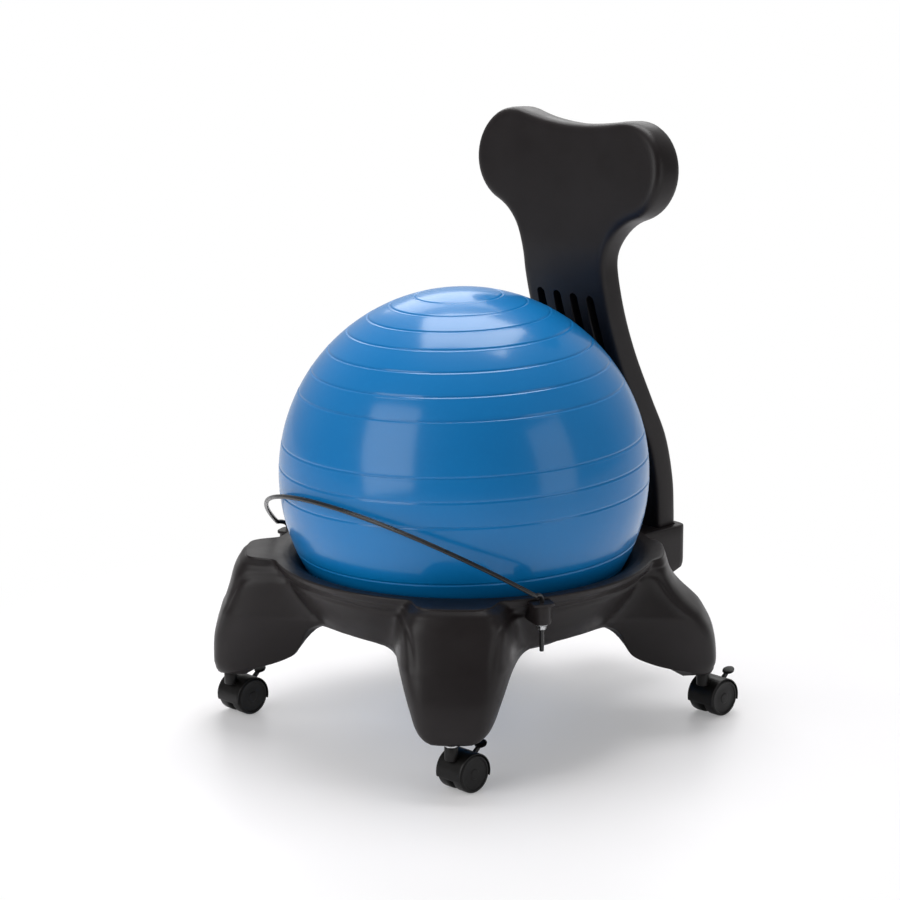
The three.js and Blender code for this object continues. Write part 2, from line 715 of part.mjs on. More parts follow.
// The ball's skin is turned as one profile: down the outside, in at the valve and up the inside.
function ballSkinProfile() {
  const bore = valveRadius + runningGap;
  const profile = [];
  for (const [radius, sign] of [[ballRadius, 1], [ballRadius - ballSkin, -1]]) {
    const last = Math.PI - Math.asin(bore / radius);
    const rings = ballSides / 2;
    for (let i = 0; i <= rings; i += 1) {
      const turn = last * (sign > 0 ? i : rings - i) / rings;
      const onAxis = turn === 0;
      profile.push([onAxis ? 0 : radius * Math.sin(turn), ballHeight + radius * Math.cos(turn)]);
    }
  }
  return profile;
}

function ballPlug() {
  const outside = ballHeight - ballRadius - runningGap;
  return turned([[0, outside - plugFlangeDepth], [plugFlangeRadius * 0.8, outside - plugFlangeDepth],
    [plugFlangeRadius, outside], [valveRadius, outside], [valveRadius * 0.8, outside + plugLength],
    [0, outside + plugLength]], turnedSides);
}

// Sweeps a round rod along a list of points, closed to its middle at both ends.
function sweptRod(points, radius, sides) {
  const last = points.length - 1;
  const across = new THREE.Vector3();
  const rows = points.map((point, i) => {
    const along = points[Math.min(i + 1, last)].clone().sub(points[Math.max(i - 1, 0)]).normalize();
    if (i === 0) across.set(1, 0, 0);
    across.addScaledVector(along, -across.dot(along)).normalize();
    const other = new THREE.Vector3().crossVectors(along, across);
    return Array.from({ length: sides }, (unused, k) => {
      const turn = (2 * Math.PI * k) / sides;
      return point.clone().addScaledVector(across, radius * Math.cos(turn))
        .addScaledVector(other, radius * Math.sin(turn));
    });
  });
  const cap = (row, point) => row.map(() => point.clone());
  return loft([cap(rows[0], points[0]), ...rows, cap(rows[last], points[last])], false);
}

// Places on the hoop's rod: an arc in a sloping plane, then down through the lug at each end.
function hoopRod() {
  const straight = lugTop + rodRadius;
  const arcSteps = 28;
  const bendSteps = 6;
  const arc = [];
  for (let i = 0; i <= arcSteps; i += 1) {
    const turn = Math.PI + hoopEnd + ((Math.PI - 2 * hoopEnd) * i) / arcSteps;
    const y = hoopSetBack + hoopRadius * Math.sin(turn);
    arc.push(new THREE.Vector3(hoopRadius * Math.cos(turn), y, hoopSideHeight - hoopDropShare * y));
  }
  const bend = (side) => {
    const top = new THREE.Vector3(side * lugX, lugY, straight);
    const over = top.clone().add(new THREE.Vector3(0, 0, rodBend));
    const first = side < 0 ? arc[0] : arc[arcSteps];
    const steps = Array.from({ length: bendSteps }, (unused, i) => i / bendSteps);
    const route = new THREE.QuadraticBezierCurve3(top, over, first);
    return [new THREE.Vector3(side * lugX, lugY, lugBottom - rodTail),
      ...steps.map((t) => route.getPoint(t))];
  };
  return sweptRod([...bend(-1), ...arc, ...bend(1).reverse()], rodRadius, smallSides);
}

// Parts of one caster, in a frame with the stem's axis at the origin and the wheels behind it.
const axlePlace = [0, trail, wheelRadius];
const hoodInner = wheelRadius + hoodGap;
const hoodOuter = hoodInner + hoodWall;
const hoodHalfWidth = webThickness / 2 + runningGap + wheelWidth;
const collarLow = footHeight - sleeveFlangeDepth - runningGap - pinCollarDepth - runningGap;
const bossTop = collarLow - runningGap;
const shankRadius = pinRadius * 0.9;
const pedalPivot = [0, trail + pedalPivotReach, wheelRadius + pedalPivotRise];

function casterHousing() {
  const skirt = Math.asin((hoodSkirtHeight - wheelRadius) / hoodOuter);
  const [, axleY, axleZ] = axlePlace;
  const shell = new THREE.Shape();
  shell.absarc(axleY, axleZ, hoodOuter, skirt, Math.PI - skirt, false);
  shell.absarc(axleY, axleZ, hoodInner, Math.PI - skirt, skirt, true);
  const web = new THREE.Shape();
  const webRadius = hoodInner + hoodWall / 2;
  web.absarc(axleY, axleZ, webRadius, skirt, Math.PI - skirt, false);
  web.absarc(axleY, axleZ, wheelRadius * 0.55, Math.PI * 1.1, Math.PI * 1.9, false);
  const boss = disc(shankRadius + bossWall, bossTop - shankLength - bossWall, bossTop, turnedSides);
  const bore = disc(shankRadius + runningGap, bossTop - shankLength - runningGap, bossTop + overrun,
    turnedSides);
  const width = hoodHalfWidth * 2;
  const axleBore = disc(axleRadius + runningGap, -width, width, smallSides)
    .rotateY(Math.PI / 2).translate(...axlePlace);
  const wheelRoom = [-1, 1].map((side) => {
    const reach = width;
    const room = disc(hoodInner, 0, reach, wheelSides).rotateY((Math.PI / 2) * side);
    return room.translate(side * webThickness / 2, axleY, axleZ);
  });
  const [, pivotY, pivotZ] = pedalPivot;
  const slotHalf = pedalArmWidth / 2 + runningGap;
  const slot = box(-slotHalf, slotHalf, pivotY - pedalArmDepth * 0.75, pivotY + pedalReach,
    pivotZ - pedalArmDepth * 0.75, footHeight);
  const pinBore = disc(pedalPinRadius + runningGap, -webThickness, webThickness, smallSides)
    .rotateY(Math.PI / 2).translate(...pedalPivot);
  const solid = carve([slab(web, webThickness), boss], wheelRoom);
  return carve([solid, slab(shell, width)], [bore, axleBore, slot, pinBore]);
}

function casterPin() {
  const tip = footHeight + pinLength;
  const shankLow = bossTop - shankLength;
  const groove = pinRadius - gripWall;
  const ringLow = tip - gripLength * 2;
  const ringHigh = ringLow + gripLength + runningGap * 2;
  return turned([[0, shankLow], [shankRadius, shankLow], [shankRadius, collarLow],
    [pinCollarRadius, collarLow], [pinCollarRadius, collarLow + pinCollarDepth],
    [pinRadius, collarLow + pinCollarDepth], [pinRadius, ringLow], [groove, ringLow],
    [groove, ringHigh], [pinRadius, ringHigh], [pinRadius, tip - pinRadius / 2],
    [pinRadius * 0.6, tip], [0, tip]], turnedSides);
}

function casterSleeve() {
  const low = footHeight - sleeveFlangeDepth - runningGap;
  return turned([[sleeveInner, low], [sleeveFlangeRadius, low],
    [sleeveFlangeRadius, low + sleeveFlangeDepth], [sleeveOuter, low + sleeveFlangeDepth],
    [sleeveOuter, sleeveTop], [0, sleeveTop], [0, sleeveTop - sleeveWall / 2],
    [sleeveInner, sleeveTop - sleeveWall / 2], [sleeveInner, low]], turnedSides);
}

function gripRing() {
  const low = footHeight + pinLength - gripLength * 2 + runningGap;
  const inner = pinRadius - gripWall + runningGap;
  return tube(inner, pinRadius, low, low + gripLength, turnedSides);
}

const boreDepth = wheelWidth * 0.7;

function casterAxle() {
  const half = webThickness / 2 + boreDepth;
  return disc(axleRadius, -half, half, smallSides).rotateY(Math.PI / 2).translate(...axlePlace);
}

// A wheel with a rounded tread, a dished outer face and a blind bore, on the side that its
// sign gives.
function casterWheel(side) {
  const bore = axleRadius + runningGap;
  const round = wheelWidth * 0.12;
  const dish = wheelWidth * 0.1;
  const profile = [[0, boreDepth], [bore, boreDepth], [bore, 0], [wheelRadius - round, 0],
    [wheelRadius, round], [wheelRadius, wheelWidth - round], [wheelRadius - round, wheelWidth],
    [wheelRadius * 0.82, wheelWidth - dish], [wheelRadius * 0.4, wheelWidth - dish / 2],
    [0, wheelWidth - dish / 2]];
  const wheel = turned(profile, wheelSides).rotateY((Math.PI / 2) * side);
  return wheel.translate(side * (webThickness / 2 + runningGap), trail, wheelRadius);
}

function brakePedal() {
  const [, pivotY, pivotZ] = pedalPivot;
  const plateY = trail + pedalReach;
  const halfLength = pedalLength / 2;
  const plate = new THREE.Shape();
  plate.moveTo(plateY - halfLength, pedalRise - pedalThickness * 0.2);
  plate.lineTo(plateY, pedalRise - pedalThickness / 2);
  plate.lineTo(plateY + halfLength, pedalRise - pedalThickness * 0.4);
  plate.lineTo(plateY + halfLength, pedalRise);
  plate.lineTo(plateY, pedalRise + pedalThickness / 2);
  plate.lineTo(plateY - halfLength, pedalRise + pedalThickness * 0.2);
  const arm = new THREE.Shape();
  const rise = Math.atan2(pedalRise - pivotZ, plateY - pivotY);
  const halfDepth = pedalArmDepth / 2;
  arm.absarc(pivotY, pivotZ, halfDepth, rise + Math.PI / 2, rise + Math.PI * 1.5, false);
  arm.lineTo(plateY + halfDepth * Math.sin(rise), pedalRise - halfDepth * Math.cos(rise));
  arm.lineTo(plateY - halfDepth, pedalRise);
  const bore = disc(pedalPinRadius + runningGap, -pedalWidth, pedalWidth, smallSides)
    .rotateY(Math.PI / 2).translate(...pedalPivot);
  return carve([slab(arm, pedalArmWidth), slab(plate, pedalWidth)], [bore]);
}

function pedalPin() {
  const half = webThickness / 2;
  return disc(pedalPinRadius, -half, half, smallSides).rotateY(Math.PI / 2).translate(...pedalPivot);
}

function named(name, geometry, material) {
  const mesh = new THREE.Mesh(geometry, material);
  mesh.name = name;
  return mesh;
}

function caster(leg) {
  const unit = new THREE.Group();
  const name = (piece) => `caster_${leg.name}_${piece}`;
  unit.add(
    named(name('sleeve'), casterSleeve(), finish.caster),
    named(name('grip_ring'), gripRing(), finish.zinc),
    named(name('stem'), casterPin(), finish.zinc),
    named(name('housing'), casterHousing(), finish.caster),
    named(name('axle'), casterAxle(), finish.zinc),
    named(name('wheel_left'), casterWheel(1), finish.caster),
    named(name('wheel_right'), casterWheel(-1), finish.caster),
    named(name('brake_pedal'), brakePedal(), finish.caster),
    named(name('brake_pin'), pedalPin(), finish.zinc),
  );
  unit.position.set(...stemPlace(leg));
  return unit;
}

function boltSet(side, name) {
  const set = new THREE.Group();
  const rear = socketRear + runningGap;
  const headLow = rear + washerThickness + runningGap;
  const tip = headLow - boltLength;
  const key = disc(boltSocketRadius, headLow + boltHeadDepth * 0.3, headLow + boltHeadDepth * 2, 6);
  const bolt = carve([turned([[0, tip], [boltRadius, tip], [boltRadius, headLow],
    [boltHeadRadius, headLow], [boltHeadRadius, headLow + boltHeadDepth * 0.6],
    [boltHeadRadius * 0.75, headLow + boltHeadDepth], [0, headLow + boltHeadDepth]], turnedSides)], [key]);
  const washer = tube(boltRadius + runningGap, washerRadius, rear, rear + washerThickness, turnedSides);
  const insert = tube(boltRadius + runningGap, insertRadius, stemRear - insertLength,
    stemRear - stemEdge * 0.1, turnedSides);
  const pieces = [['bolt', bolt], ['washer', washer], ['insert', insert]];
  for (const [piece, geometry] of pieces) {
    const mesh = named(`backrest_${piece}_${name}`, geometry.rotateX(-Math.PI / 2), finish.zinc);
    mesh.position.set(side * boltSpread, 0, boltHeight);
    set.add(mesh);
  }
  return set;
}

function hoopFixing(side, name) {
  const set = new THREE.Group();
  const bore = rodRadius + runningGap;
  const washerTop = lugBottom - runningGap;
  const nutTop = washerTop - hoopWasherThickness - runningGap;
  const washer = tube(bore, hoopWasherRadius, washerTop - hoopWasherThickness, washerTop, turnedSides);
  const nut = carve([disc(hoopNutRadius, nutTop - hoopNutDepth, nutTop, 6)],
    [disc(bore, nutTop - hoopNutDepth * 2, nutTop + hoopNutDepth, smallSides)]);
  set.add(named(`hoop_washer_${name}`, washer, finish.zinc), named(`hoop_nut_${name}`, nut, finish.zinc));
  set.position.set(side * lugX, lugY, 0);
  return set;
}

const chair = new THREE.Group();
chair.add(
  named('base_frame', baseFrame(), finish.base),
  named('ball', turned(ballSkinProfile(), ballSides), finish.ball),
  named('ball_valve_plug', ballPlug(), finish.plug),
  named('backrest', backrest(), finish.base),
  named('hoop_rod', hoopRod(), finish.rod),
);
for (const [side, name] of [[1, 'left'], [-1, 'right']]) {
  chair.add(boltSet(side, name), hoopFixing(side, name));
}
for (const leg of legs) chair.add(caster(leg));

// The chair stands on its wheels, with the origin on the floor under the middle of its outline.
const reach = new THREE.Box3().setFromObject(chair);
chair.position.y = -(reach.min.y + reach.max.y) / 2;

export default chair;
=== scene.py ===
from math import asin, atan, atan2, cos, exp, hypot, inf, pi, radians, sin, sqrt

import bmesh
import bpy
import numpy as np
from mathutils import Matrix, Vector
from numpy.linalg import norm


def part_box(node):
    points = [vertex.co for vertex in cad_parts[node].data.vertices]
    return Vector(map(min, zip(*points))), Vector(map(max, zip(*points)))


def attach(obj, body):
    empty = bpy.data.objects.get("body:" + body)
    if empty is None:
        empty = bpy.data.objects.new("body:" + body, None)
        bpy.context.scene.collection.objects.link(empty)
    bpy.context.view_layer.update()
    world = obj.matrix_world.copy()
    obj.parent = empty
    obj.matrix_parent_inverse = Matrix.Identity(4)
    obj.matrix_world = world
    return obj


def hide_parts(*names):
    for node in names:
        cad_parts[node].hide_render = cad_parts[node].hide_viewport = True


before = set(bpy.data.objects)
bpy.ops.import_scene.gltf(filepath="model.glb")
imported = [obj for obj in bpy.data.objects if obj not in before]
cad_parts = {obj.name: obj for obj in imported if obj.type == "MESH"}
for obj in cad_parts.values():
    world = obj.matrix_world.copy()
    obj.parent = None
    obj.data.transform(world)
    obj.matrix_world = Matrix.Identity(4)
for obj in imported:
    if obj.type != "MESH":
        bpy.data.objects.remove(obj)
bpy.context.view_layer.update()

# Geometry is worked out in millimetres about the ball's upright axis, then placed in the frame.
MM = 0.001
ball_low, ball_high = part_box("ball")
MIDDLE = np.array([(ball_low[0] + ball_high[0]) / 2, (ball_low[1] + ball_high[1]) / 2, 0.0])

BALL_RADIUS = 250.0
BALL_HEIGHT = 343.0
BALL_SKIN = 2.0
# Room left between pieces that don't touch.
GAP = 0.3
RIM_HEIGHT = 236.0
FOOT_HEIGHT = 67.0
ARCH_HEIGHT = 157.0
HOLE_RADIUS = 150.0
BOWL_EDGE = 214.0
RING_DEPTH = 30.0
RING_TOP = sqrt((BALL_RADIUS + RING_DEPTH) ** 2 - (BALL_HEIGHT - RIM_HEIGHT) ** 2)
LEG_LENGTH = 84.25
LEG_REACH = RING_TOP + LEG_LENGTH
LEG_HALF_WIDTH = 75.0
FRONT_TOE = radians(1.5)
FRONT_STEM_REACH = LEG_REACH - 23.4
REAR_STEM_REACH = LEG_REACH - 16.3
# The legs' outer skin is drawn in a little, to stay within the object's box.
SKIN_MARGIN = 2.0
BOWL_RADIUS = BALL_RADIUS + GAP * 3

LEGS = [
    ("rear_left", radians(45), True),
    ("rear_right", radians(135), True),
    ("front_right", radians(225) + FRONT_TOE, False),
    ("front_left", radians(315) - FRONT_TOE, False),
]


def new_object(name, data):
    thing = bpy.data.objects.new(name, data)
    bpy.context.collection.objects.link(thing)
    return thing


# Camera at the photograph's viewing angle.
CAMERA_PLACE = Vector((2.972, -2.867, 1.361))
CAMERA_AIM = Vector((0.0, -0.029, 0.3746))

camera_data = bpy.data.cameras.new("camera")
camera = new_object("camera", camera_data)
camera.location = CAMERA_PLACE
camera.rotation_euler = (CAMERA_AIM - CAMERA_PLACE).to_track_quat("-Z", "Y").to_euler()
camera_data.sensor_width = 36
camera_data.lens = 125.3
camera_data.shift_x = -0.02333
camera_data.shift_y = -0.00333
camera_data.clip_end = 60
bpy.context.scene.camera = camera


# Node helpers for the materials.
def feed(node, values):
    """Links sockets to a node's inputs, or sets plain values there, by name or number."""
    for key, value in values.items():
        if isinstance(value, bpy.types.NodeSocket):
            node.id_data.links.new(value, node.inputs[key])
        else:
            node.inputs[key].default_value = value


def add(near, kind, values, **settings):
    """A new node in the tree of a given node or socket."""
    node = near.id_data.nodes.new(kind)
    for name, value in settings.items():
        setattr(node, name, value)
    feed(node, values)
    return node


def new_material(name):
    """A material, its shader, and the place on the object that its nodes start from."""
    material = bpy.data.materials.new(name)
    material.use_nodes = True
    shader = material.node_tree.nodes["Principled BSDF"]
    return material, shader, add(shader, "ShaderNodeTexCoord", {}).outputs["Object"]


def noise(place, scale, detail=3.0, rough=0.5):
    values = {"Vector": place, "Scale": scale, "Detail": detail, "Roughness": rough}
    return add(place, "ShaderNodeTexNoise", values).outputs["Fac"]


def spread(value, low, high, start=0.3, end=0.7):
    """Maps start to end onto low to high, level beyond them."""
    values = {"Value": value, "From Min": start, "From Max": end, "To Min": low, "To Max": high}
    return add(value, "ShaderNodeMapRange", values).outputs["Result"]


def combine(operation, first, second):
    node = add(first, "ShaderNodeMath", {0: first, 1: second}, operation=operation)
    return node.outputs[0]


def blend_colours(share, first, second):
    """Mixes two colours, each a socket or (red, green, blue)."""
    first, second = ((*c, 1.0) if isinstance(c, tuple) else c for c in (first, second))
    node = add(share, "ShaderNodeMix", {0: share, 6: first, 7: second}, data_type="RGBA")
    return node.outputs[2]


def bump(height, strength, distance, under=None):
    values = {"Height": height, "Strength": strength, "Distance": distance}
    if under is not None:
        values["Normal"] = under
    return add(height, "ShaderNodeBump", values).outputs["Normal"]


def mix_shaders(share, first, second, output):
    node = add(share, "ShaderNodeMixShader", {0: share, 1: first.outputs[0], 2: second.outputs[0]})
    feed(output, {"Surface": node.outputs[0]})


def moulded_plastic(name, dark, light, worn, roughness, grain):
    """Moulded plastic with a fine grain, slow unevenness and paler edges."""
    material, shader, place = new_material(name)
    slow = spread(noise(place, 7.0, 4.0, 0.6), 0.0, 1.0, 0.35, 0.65)
    pointiness = add(place, "ShaderNodeNewGeometry", {}).outputs["Pointiness"]
    edges = spread(pointiness, 0.0, 1.0, 0.53, 0.62)
    scuff = spread(noise(place, 55.0, 5.0, 0.65), 0.1, 0.8, 0.4, 0.65)
    wear = combine("MULTIPLY", edges, scuff)
    fine = add(place, "ShaderNodeTexVoronoi", {"Vector": place, "Scale": grain})
    wave = bump(noise(place, 18.0, 2.0), 0.25, 0.0008)
    feed(shader, {
        "Base Color": blend_colours(wear, blend_colours(slow, dark, light), worn),
        "Roughness": spread(noise(place, 24.0, 5.0, 0.6), roughness - 0.05, roughness + 0.07),
        "Normal": bump(fine.outputs["Distance"], 0.16, 0.00012, wave),
        "Specular IOR Level": 0.28})
    return material


def ball_vinyl():
    """Soft vinyl under a thin glossy coat, with slow unevenness and a fine dusty grain."""
    material, shader, place = new_material("ball_vinyl_blue")
    slow = spread(noise(place, 3.2, 3.0, 0.5), 0.0, 1.0)
    body = blend_colours(slow, (0.0005, 0.158, 0.43), (0.001, 0.182, 0.48))
    dusty = spread(noise(place, 140.0, 4.0, 0.7), 0.0, 0.12, 0.52, 0.72)
    grain = bump(noise(place, 420.0, 2.0), 0.1, 0.0001)
    feed(shader, {
        "Base Color": blend_colours(dusty, body, (0.006, 0.23, 0.55)),
        "Roughness": spread(noise(place, 9.0, 5.0, 0.62), 0.34, 0.46),
        "Normal": bump(noise(place, 12.0, 2.0), 0.12, 0.001, grain),
        "Specular IOR Level": 0.14, "Coat Weight": 0.6, "Coat Roughness": 0.15})
    return material


def plated_steel():
    """Bright zinc with fine patches and faint level streaks."""
    material, shader, place = new_material("zinc_plated_steel")
    patches = spread(noise(place, 160.0, 5.0, 0.6), 0.0, 1.0)
    stretched = add(place, "ShaderNodeMapping", {"Vector": place, "Scale": (1.0, 1.0, 14.0)})
    feed(shader, {
        "Base Color": blend_colours(patches, (0.48, 0.49, 0.5), (0.68, 0.69, 0.7)),
        "Roughness": spread(noise(place, 300.0, 4.0), 0.22, 0.42),
        "Normal": bump(noise(stretched.outputs["Vector"], 180.0), 0.1, 0.0001),
        "Metallic": 1.0})
    return material


def painted_rod():
    """Black paint with slow patches and a fine unevenness."""
    material, shader, place = new_material("painted_rod_black")
    patches = spread(noise(place, 60.0, 4.0, 0.6), 0.0, 1.0)
    feed(shader, {
        "Base Color": blend_colours(patches, (0.006, 0.006, 0.007), (0.012, 0.012, 0.013)),
        "Roughness": spread(noise(place, 90.0, 4.0), 0.24, 0.36),
        "Normal": bump(noise(place, 260.0, 3.0), 0.15, 0.00015)})
    return material


# The material of each slot: plastics as (name, dark, light, worn, roughness, grain).
FINISHES = {
    "black_shell": moulded_plastic("moulded_shell_black", (0.0088, 0.0066, 0.0069),
                                   (0.0132, 0.0102, 0.0106), (0.038, 0.033, 0.034), 0.4, 900.0),
    "caster_plastic": moulded_plastic("caster_nylon_black", (0.0038, 0.0034, 0.0032),
                                      (0.006, 0.0056, 0.0053), (0.022, 0.021, 0.021), 0.36, 1500.0),
    "caster_wheel": moulded_plastic("wheel_nylon_black", (0.0048, 0.0046, 0.0046),
                                    (0.0074, 0.0071, 0.0071), (0.026, 0.025, 0.025), 0.42, 1400.0),
    "valve_plug": moulded_plastic("valve_plug_white", (0.62, 0.64, 0.66), (0.7, 0.72, 0.74),
                                  (0.8, 0.8, 0.8), 0.45, 1600.0),
    "ball_vinyl": ball_vinyl(),
    "zinc_steel": plated_steel(),
    "black_rod": painted_rod(),
}


# Points nearer to each other than this, in metres, become one.
MERGE_DISTANCE = 2e-6


# Mesh helpers: points in millimetres about the ball's axis, faces as index tuples.
def build(name, points, faces):
    mesh = bpy.data.meshes.new(name)
    placed = np.asarray(points, float) * MM + MIDDLE
    mesh.from_pydata(placed.tolist(), [], faces)
    mesh.validate()
    work = bmesh.new()
    work.from_mesh(mesh)
    bmesh.ops.remove_doubles(work, verts=work.verts, dist=MERGE_DISTANCE)
    bmesh.ops.recalc_face_normals(work, faces=work.faces)
    work.to_mesh(mesh)
    work.free()
    return new_object(name, mesh)


def joined(name, solids, taken):
    """One closed mesh: the first solid with the others added and the taken ones cut away."""
    piece = build(name, *solids[0])
    steps = [("UNION", solid) for solid in solids[1:]] + [("DIFFERENCE", solid) for solid in taken]
    for kind, solid in steps:
        tool = build(name + "_tool", *solid)
        cut = piece.modifiers.new("cut", "BOOLEAN")
        cut.operation = kind
        cut.object = tool
        cut.solver = "EXACT"
        depsgraph = bpy.context.evaluated_depsgraph_get()
        result = bpy.data.meshes.new_from_object(piece.evaluated_get(depsgraph))
        piece.modifiers.clear()
        piece.data = result
        bpy.data.objects.remove(tool)
    piece.data.name = name
    return piece


def dress(piece, body, slot, nodes, sharp):
    """Finishes a piece: the material of its slot, smooth shading and its body; the parts it takes
    the place of are hidden.
    """
    piece.data.materials.clear()
    piece.data.materials.append(FINISHES[slot])
    for face in piece.data.polygons:
        face.use_smooth = True
    piece.data.set_sharp_from_angle(angle=radians(sharp))
    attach(piece, body)
    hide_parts(*nodes)


def loft(rows, round_rows=False):
    """Quads between rows of points, each row a closed ring, with a fan over each open end."""
    rows = [np.asarray(row, float) for row in rows]
    count = len(rows[0])
    points = list(np.concatenate(rows))
    faces = []
    for j in range(len(rows) if round_rows else len(rows) - 1):
        below = j * count
        above = ((j + 1) % len(rows)) * count
        for i in range(count):
            k = (i + 1) % count
            faces.append((below + i, below + k, above + k, above + i))
    if not round_rows:
        for start in (0, (len(rows) - 1) * count):
            points.append(np.mean(points[start:start + count], axis=0))
            hub = len(points) - 1
            for i in range(count):
                faces.append((start + i, start + (i + 1) % count, hub))
    return points, faces


def circle(sides):
    return np.arange(sides) * 2 * np.pi / sides


def turned(profile, sides, axis="z", place=(0, 0, 0)):
    """Revolves (radius, height) pairs. A profile that ends where it starts makes a ring."""
    turns = circle(sides)
    rows = [np.column_stack([radius * np.cos(turns), radius * np.sin(turns),
                             np.full(sides, float(height))]) for radius, height in profile]
    closed = profile[0] == profile[-1]
    points, faces = loft(rows[:-1] if closed else rows, closed)
    order = {"x": [2, 0, 1], "y": [1, 2, 0], "z": [0, 1, 2]}[axis]
    return np.array(points)[:, order] + np.array(place, float), faces


def cylinder(radius, low, high, sides=32, axis="z", place=(0, 0, 0)):
    return turned([(0, low), (radius, low), (radius, high), (0, high)], sides, axis, place)


def raised(profile, level):
    """(radius, height) pairs with their heights counted from a level."""
    return [(radius, level + height) for radius, height in profile]


def curve(start, corner, end, shares):
    """Points along a smooth bend from start to end that leans towards a corner."""
    return [start * (1 - t) ** 2 + corner * 2 * t * (1 - t) + end * t * t for t in shares]


def round_corner(before, corner, after, radius, steps):
    """Points of a small round in place of a corner, given its two neighbours."""
    before, corner, after = (np.array(p, float) for p in (before, corner, after))
    start = corner + (before - corner) / norm(before - corner) * radius
    end = corner + (after - corner) / norm(after - corner) * radius
    return curve(start, corner, end, [k / steps for k in range(steps + 1)])


def rounded(outline, radius, steps=3):
    """Rounds the corners of a closed outline, by less than half of its shorter sides."""
    points = np.array(outline, float)
    result = []
    for i, corner in enumerate(points):
        before = points[i - 1]
        after = points[(i + 1) % len(points)]
        room = min(norm(before - corner), norm(after - corner)) * 0.45
        result += round_corner(before, corner, after, min(radius, room), steps)
    return result


def prism(outline, levels, low=0.0):
    """A closed solid from an [x, y] outline, as (height above low, inset) levels, lowest first."""
    outline = np.array(outline, float)
    middle = (outline.max(0) + outline.min(0)) / 2
    half = (outline.max(0) - outline.min(0)) / 2
    rows = []
    for height, inset in levels:
        flat = middle + (outline - middle) * (half - inset) / half
        rows.append(np.column_stack([flat, np.full(len(flat), float(low + height))]))
    return loft(rows)


def moved(solid, place):
    points, faces = solid
    return np.array(points) + place, faces


def swung(solid, turn):
    """A solid turned about the upright axis."""
    points, faces = solid
    c, s = cos(turn), sin(turn)
    return np.array(points) @ np.array([[c, s, 0], [-s, c, 0], [0, 0, 1]]), faces


def along(table, x):
    """Smooth value at x through a short list of (place, value) pairs, level beyond its ends."""
    last = len(table) - 1
    if x <= table[0][0]:
        return table[0][1]
    if x >= table[last][0]:
        return table[last][1]
    i = 0
    while table[i + 1][0] < x:
        i += 1

    def slope(k):
        a = table[max(k - 1, 0)]
        b = table[min(k + 1, last)]
        return (b[1] - a[1]) / (b[0] - a[0])

    (x0, y0), (x1, y1) = table[i], table[i + 1]
    span = x1 - x0
    t = (x - x0) / span
    rise = t * t * (3 - 2 * t)
    bend = slope(i) * t * (1 - t) * (1 - t) - slope(i + 1) * t * t * (1 - t)
    return y0 + (y1 - y0) * rise + span * bend


def lerp(a, b, t):
    return a + (b - a) * t


def between(line, place):
    """The point at a place along a list of pairs, counted in its spans."""
    i = min(int(place), len(line) - 2)
    return [lerp(a, b, place - i) for a, b in zip(line[i], line[i + 1])]


def step_between(value, start, end):
    t = min(max((value - start) / (end - start), 0.0), 1.0)
    return t * t * (3 - 2 * t)


# Base: shares of the leg's height from foot to rim, with shares of reach and half width.
FRONT_REACH = [(0, 0.93), (0.03, 0.98), (0.11, 1), (0.3, 0.985), (0.43, 0.92), (0.54, 0.84),
               (0.73, 0.72), (0.866, 0.64), (0.95, 0.53), (1, 0.4)]
REAR_REACH = [(0, 0.955), (0.03, 1.005), (0.17, 1.03), (0.36, 0.965), (0.485, 0.83), (0.58, 0.68),
              (0.67, 0.49), (0.75, 0.35), (0.825, 0.26), (0.92, 0.18), (1, 0.08)]
FLANKS = [(0, 0.53), (0.025, 0.61), (0.07, 0.705), (0.21, 0.82), (0.355, 0.92), (0.53, 1.01),
          (0.73, 1.035), (0.86, 1), (0.94, 0.885), (1, 0.72)]
# Degrees from a leg's middle, with the lower edge's height as a share from foot to arch.
EDGE_HEIGHTS = [(0, 0), (5, 0), (6.5, 0.035), (8.9, 0.11), (11, 0.18), (12.9, 0.27),
                (15.1, 0.4), (17.1, 0.575), (19, 0.75), (21, 0.86), (24, 0.93), (28, 0.97),
                (45, 0.995)]
# Degrees from a leg's middle, with the place in UNDERSIDE where the underside starts.
EDGE_PLACES = [(0, 0), (5, 0), (6.5, 0.5), (8.9, 1.6), (11, 2.9), (12.9, 3.9), (15.1, 4.9),
               (17.1, 5.75), (19, 6.6), (21, 7.3), (24, 8), (45, 8)]
# From the foot inwards: shares from the hole to the leg's reach, and from foot to arch height.
UNDERSIDE = [(0.938, 0), (0.777, 0), (0.7, 0.13), (0.59, 0.29), (0.482, 0.46), (0.389, 0.64),
             (0.326, 0.77), (0.285, 0.86), (0.223, 0.93), (0.119, 0.86), (0.02, 0.72)]

# How sharply the legs run into the ring, low down and at the top: a small number is round.
BLEND = (7, 24)
# Share of the leg's height where the blend starts to sharpen, and the run that it takes.
BLEND_START = 0.55
BLEND_RUN = 0.3
# How square a leg is across: a small number is round.
LEG_SQUARENESS = 7

# Degrees from a leg's middle where the columns of points stand.
COLUMNS = [0, 1.5, 3, 4.5] + list(np.arange(6, 16, 0.5)) + list(np.arange(16, 24, 0.8)) \
    + list(np.arange(24, 45, 1.5))

# The groove under the rim and down each leg's corner, as (degrees from the leg, depth below rim).
FRONT_GROOVE = [(46, 20), (36, 20.5), (28, 22.5), (20, 23), (15, 21), (12.6, 22.5), (11.2, 29),
                (10, 42), (9.2, 60), (8.6, 88), (8.3, 122)]
REAR_GROOVE = [(46, 20), (36, 20.5), (27, 22), (18, 19.5), (14.5, 18), (12.8, 22.5), (12, 35),
               (11.7, 54), (10.9, 72), (9, 92)]
GROOVE_DEPTH = 3.0
GROOVE_HALF = 4.2
LIP_PROUD = 2.0
FOOT_STEP = 1.1


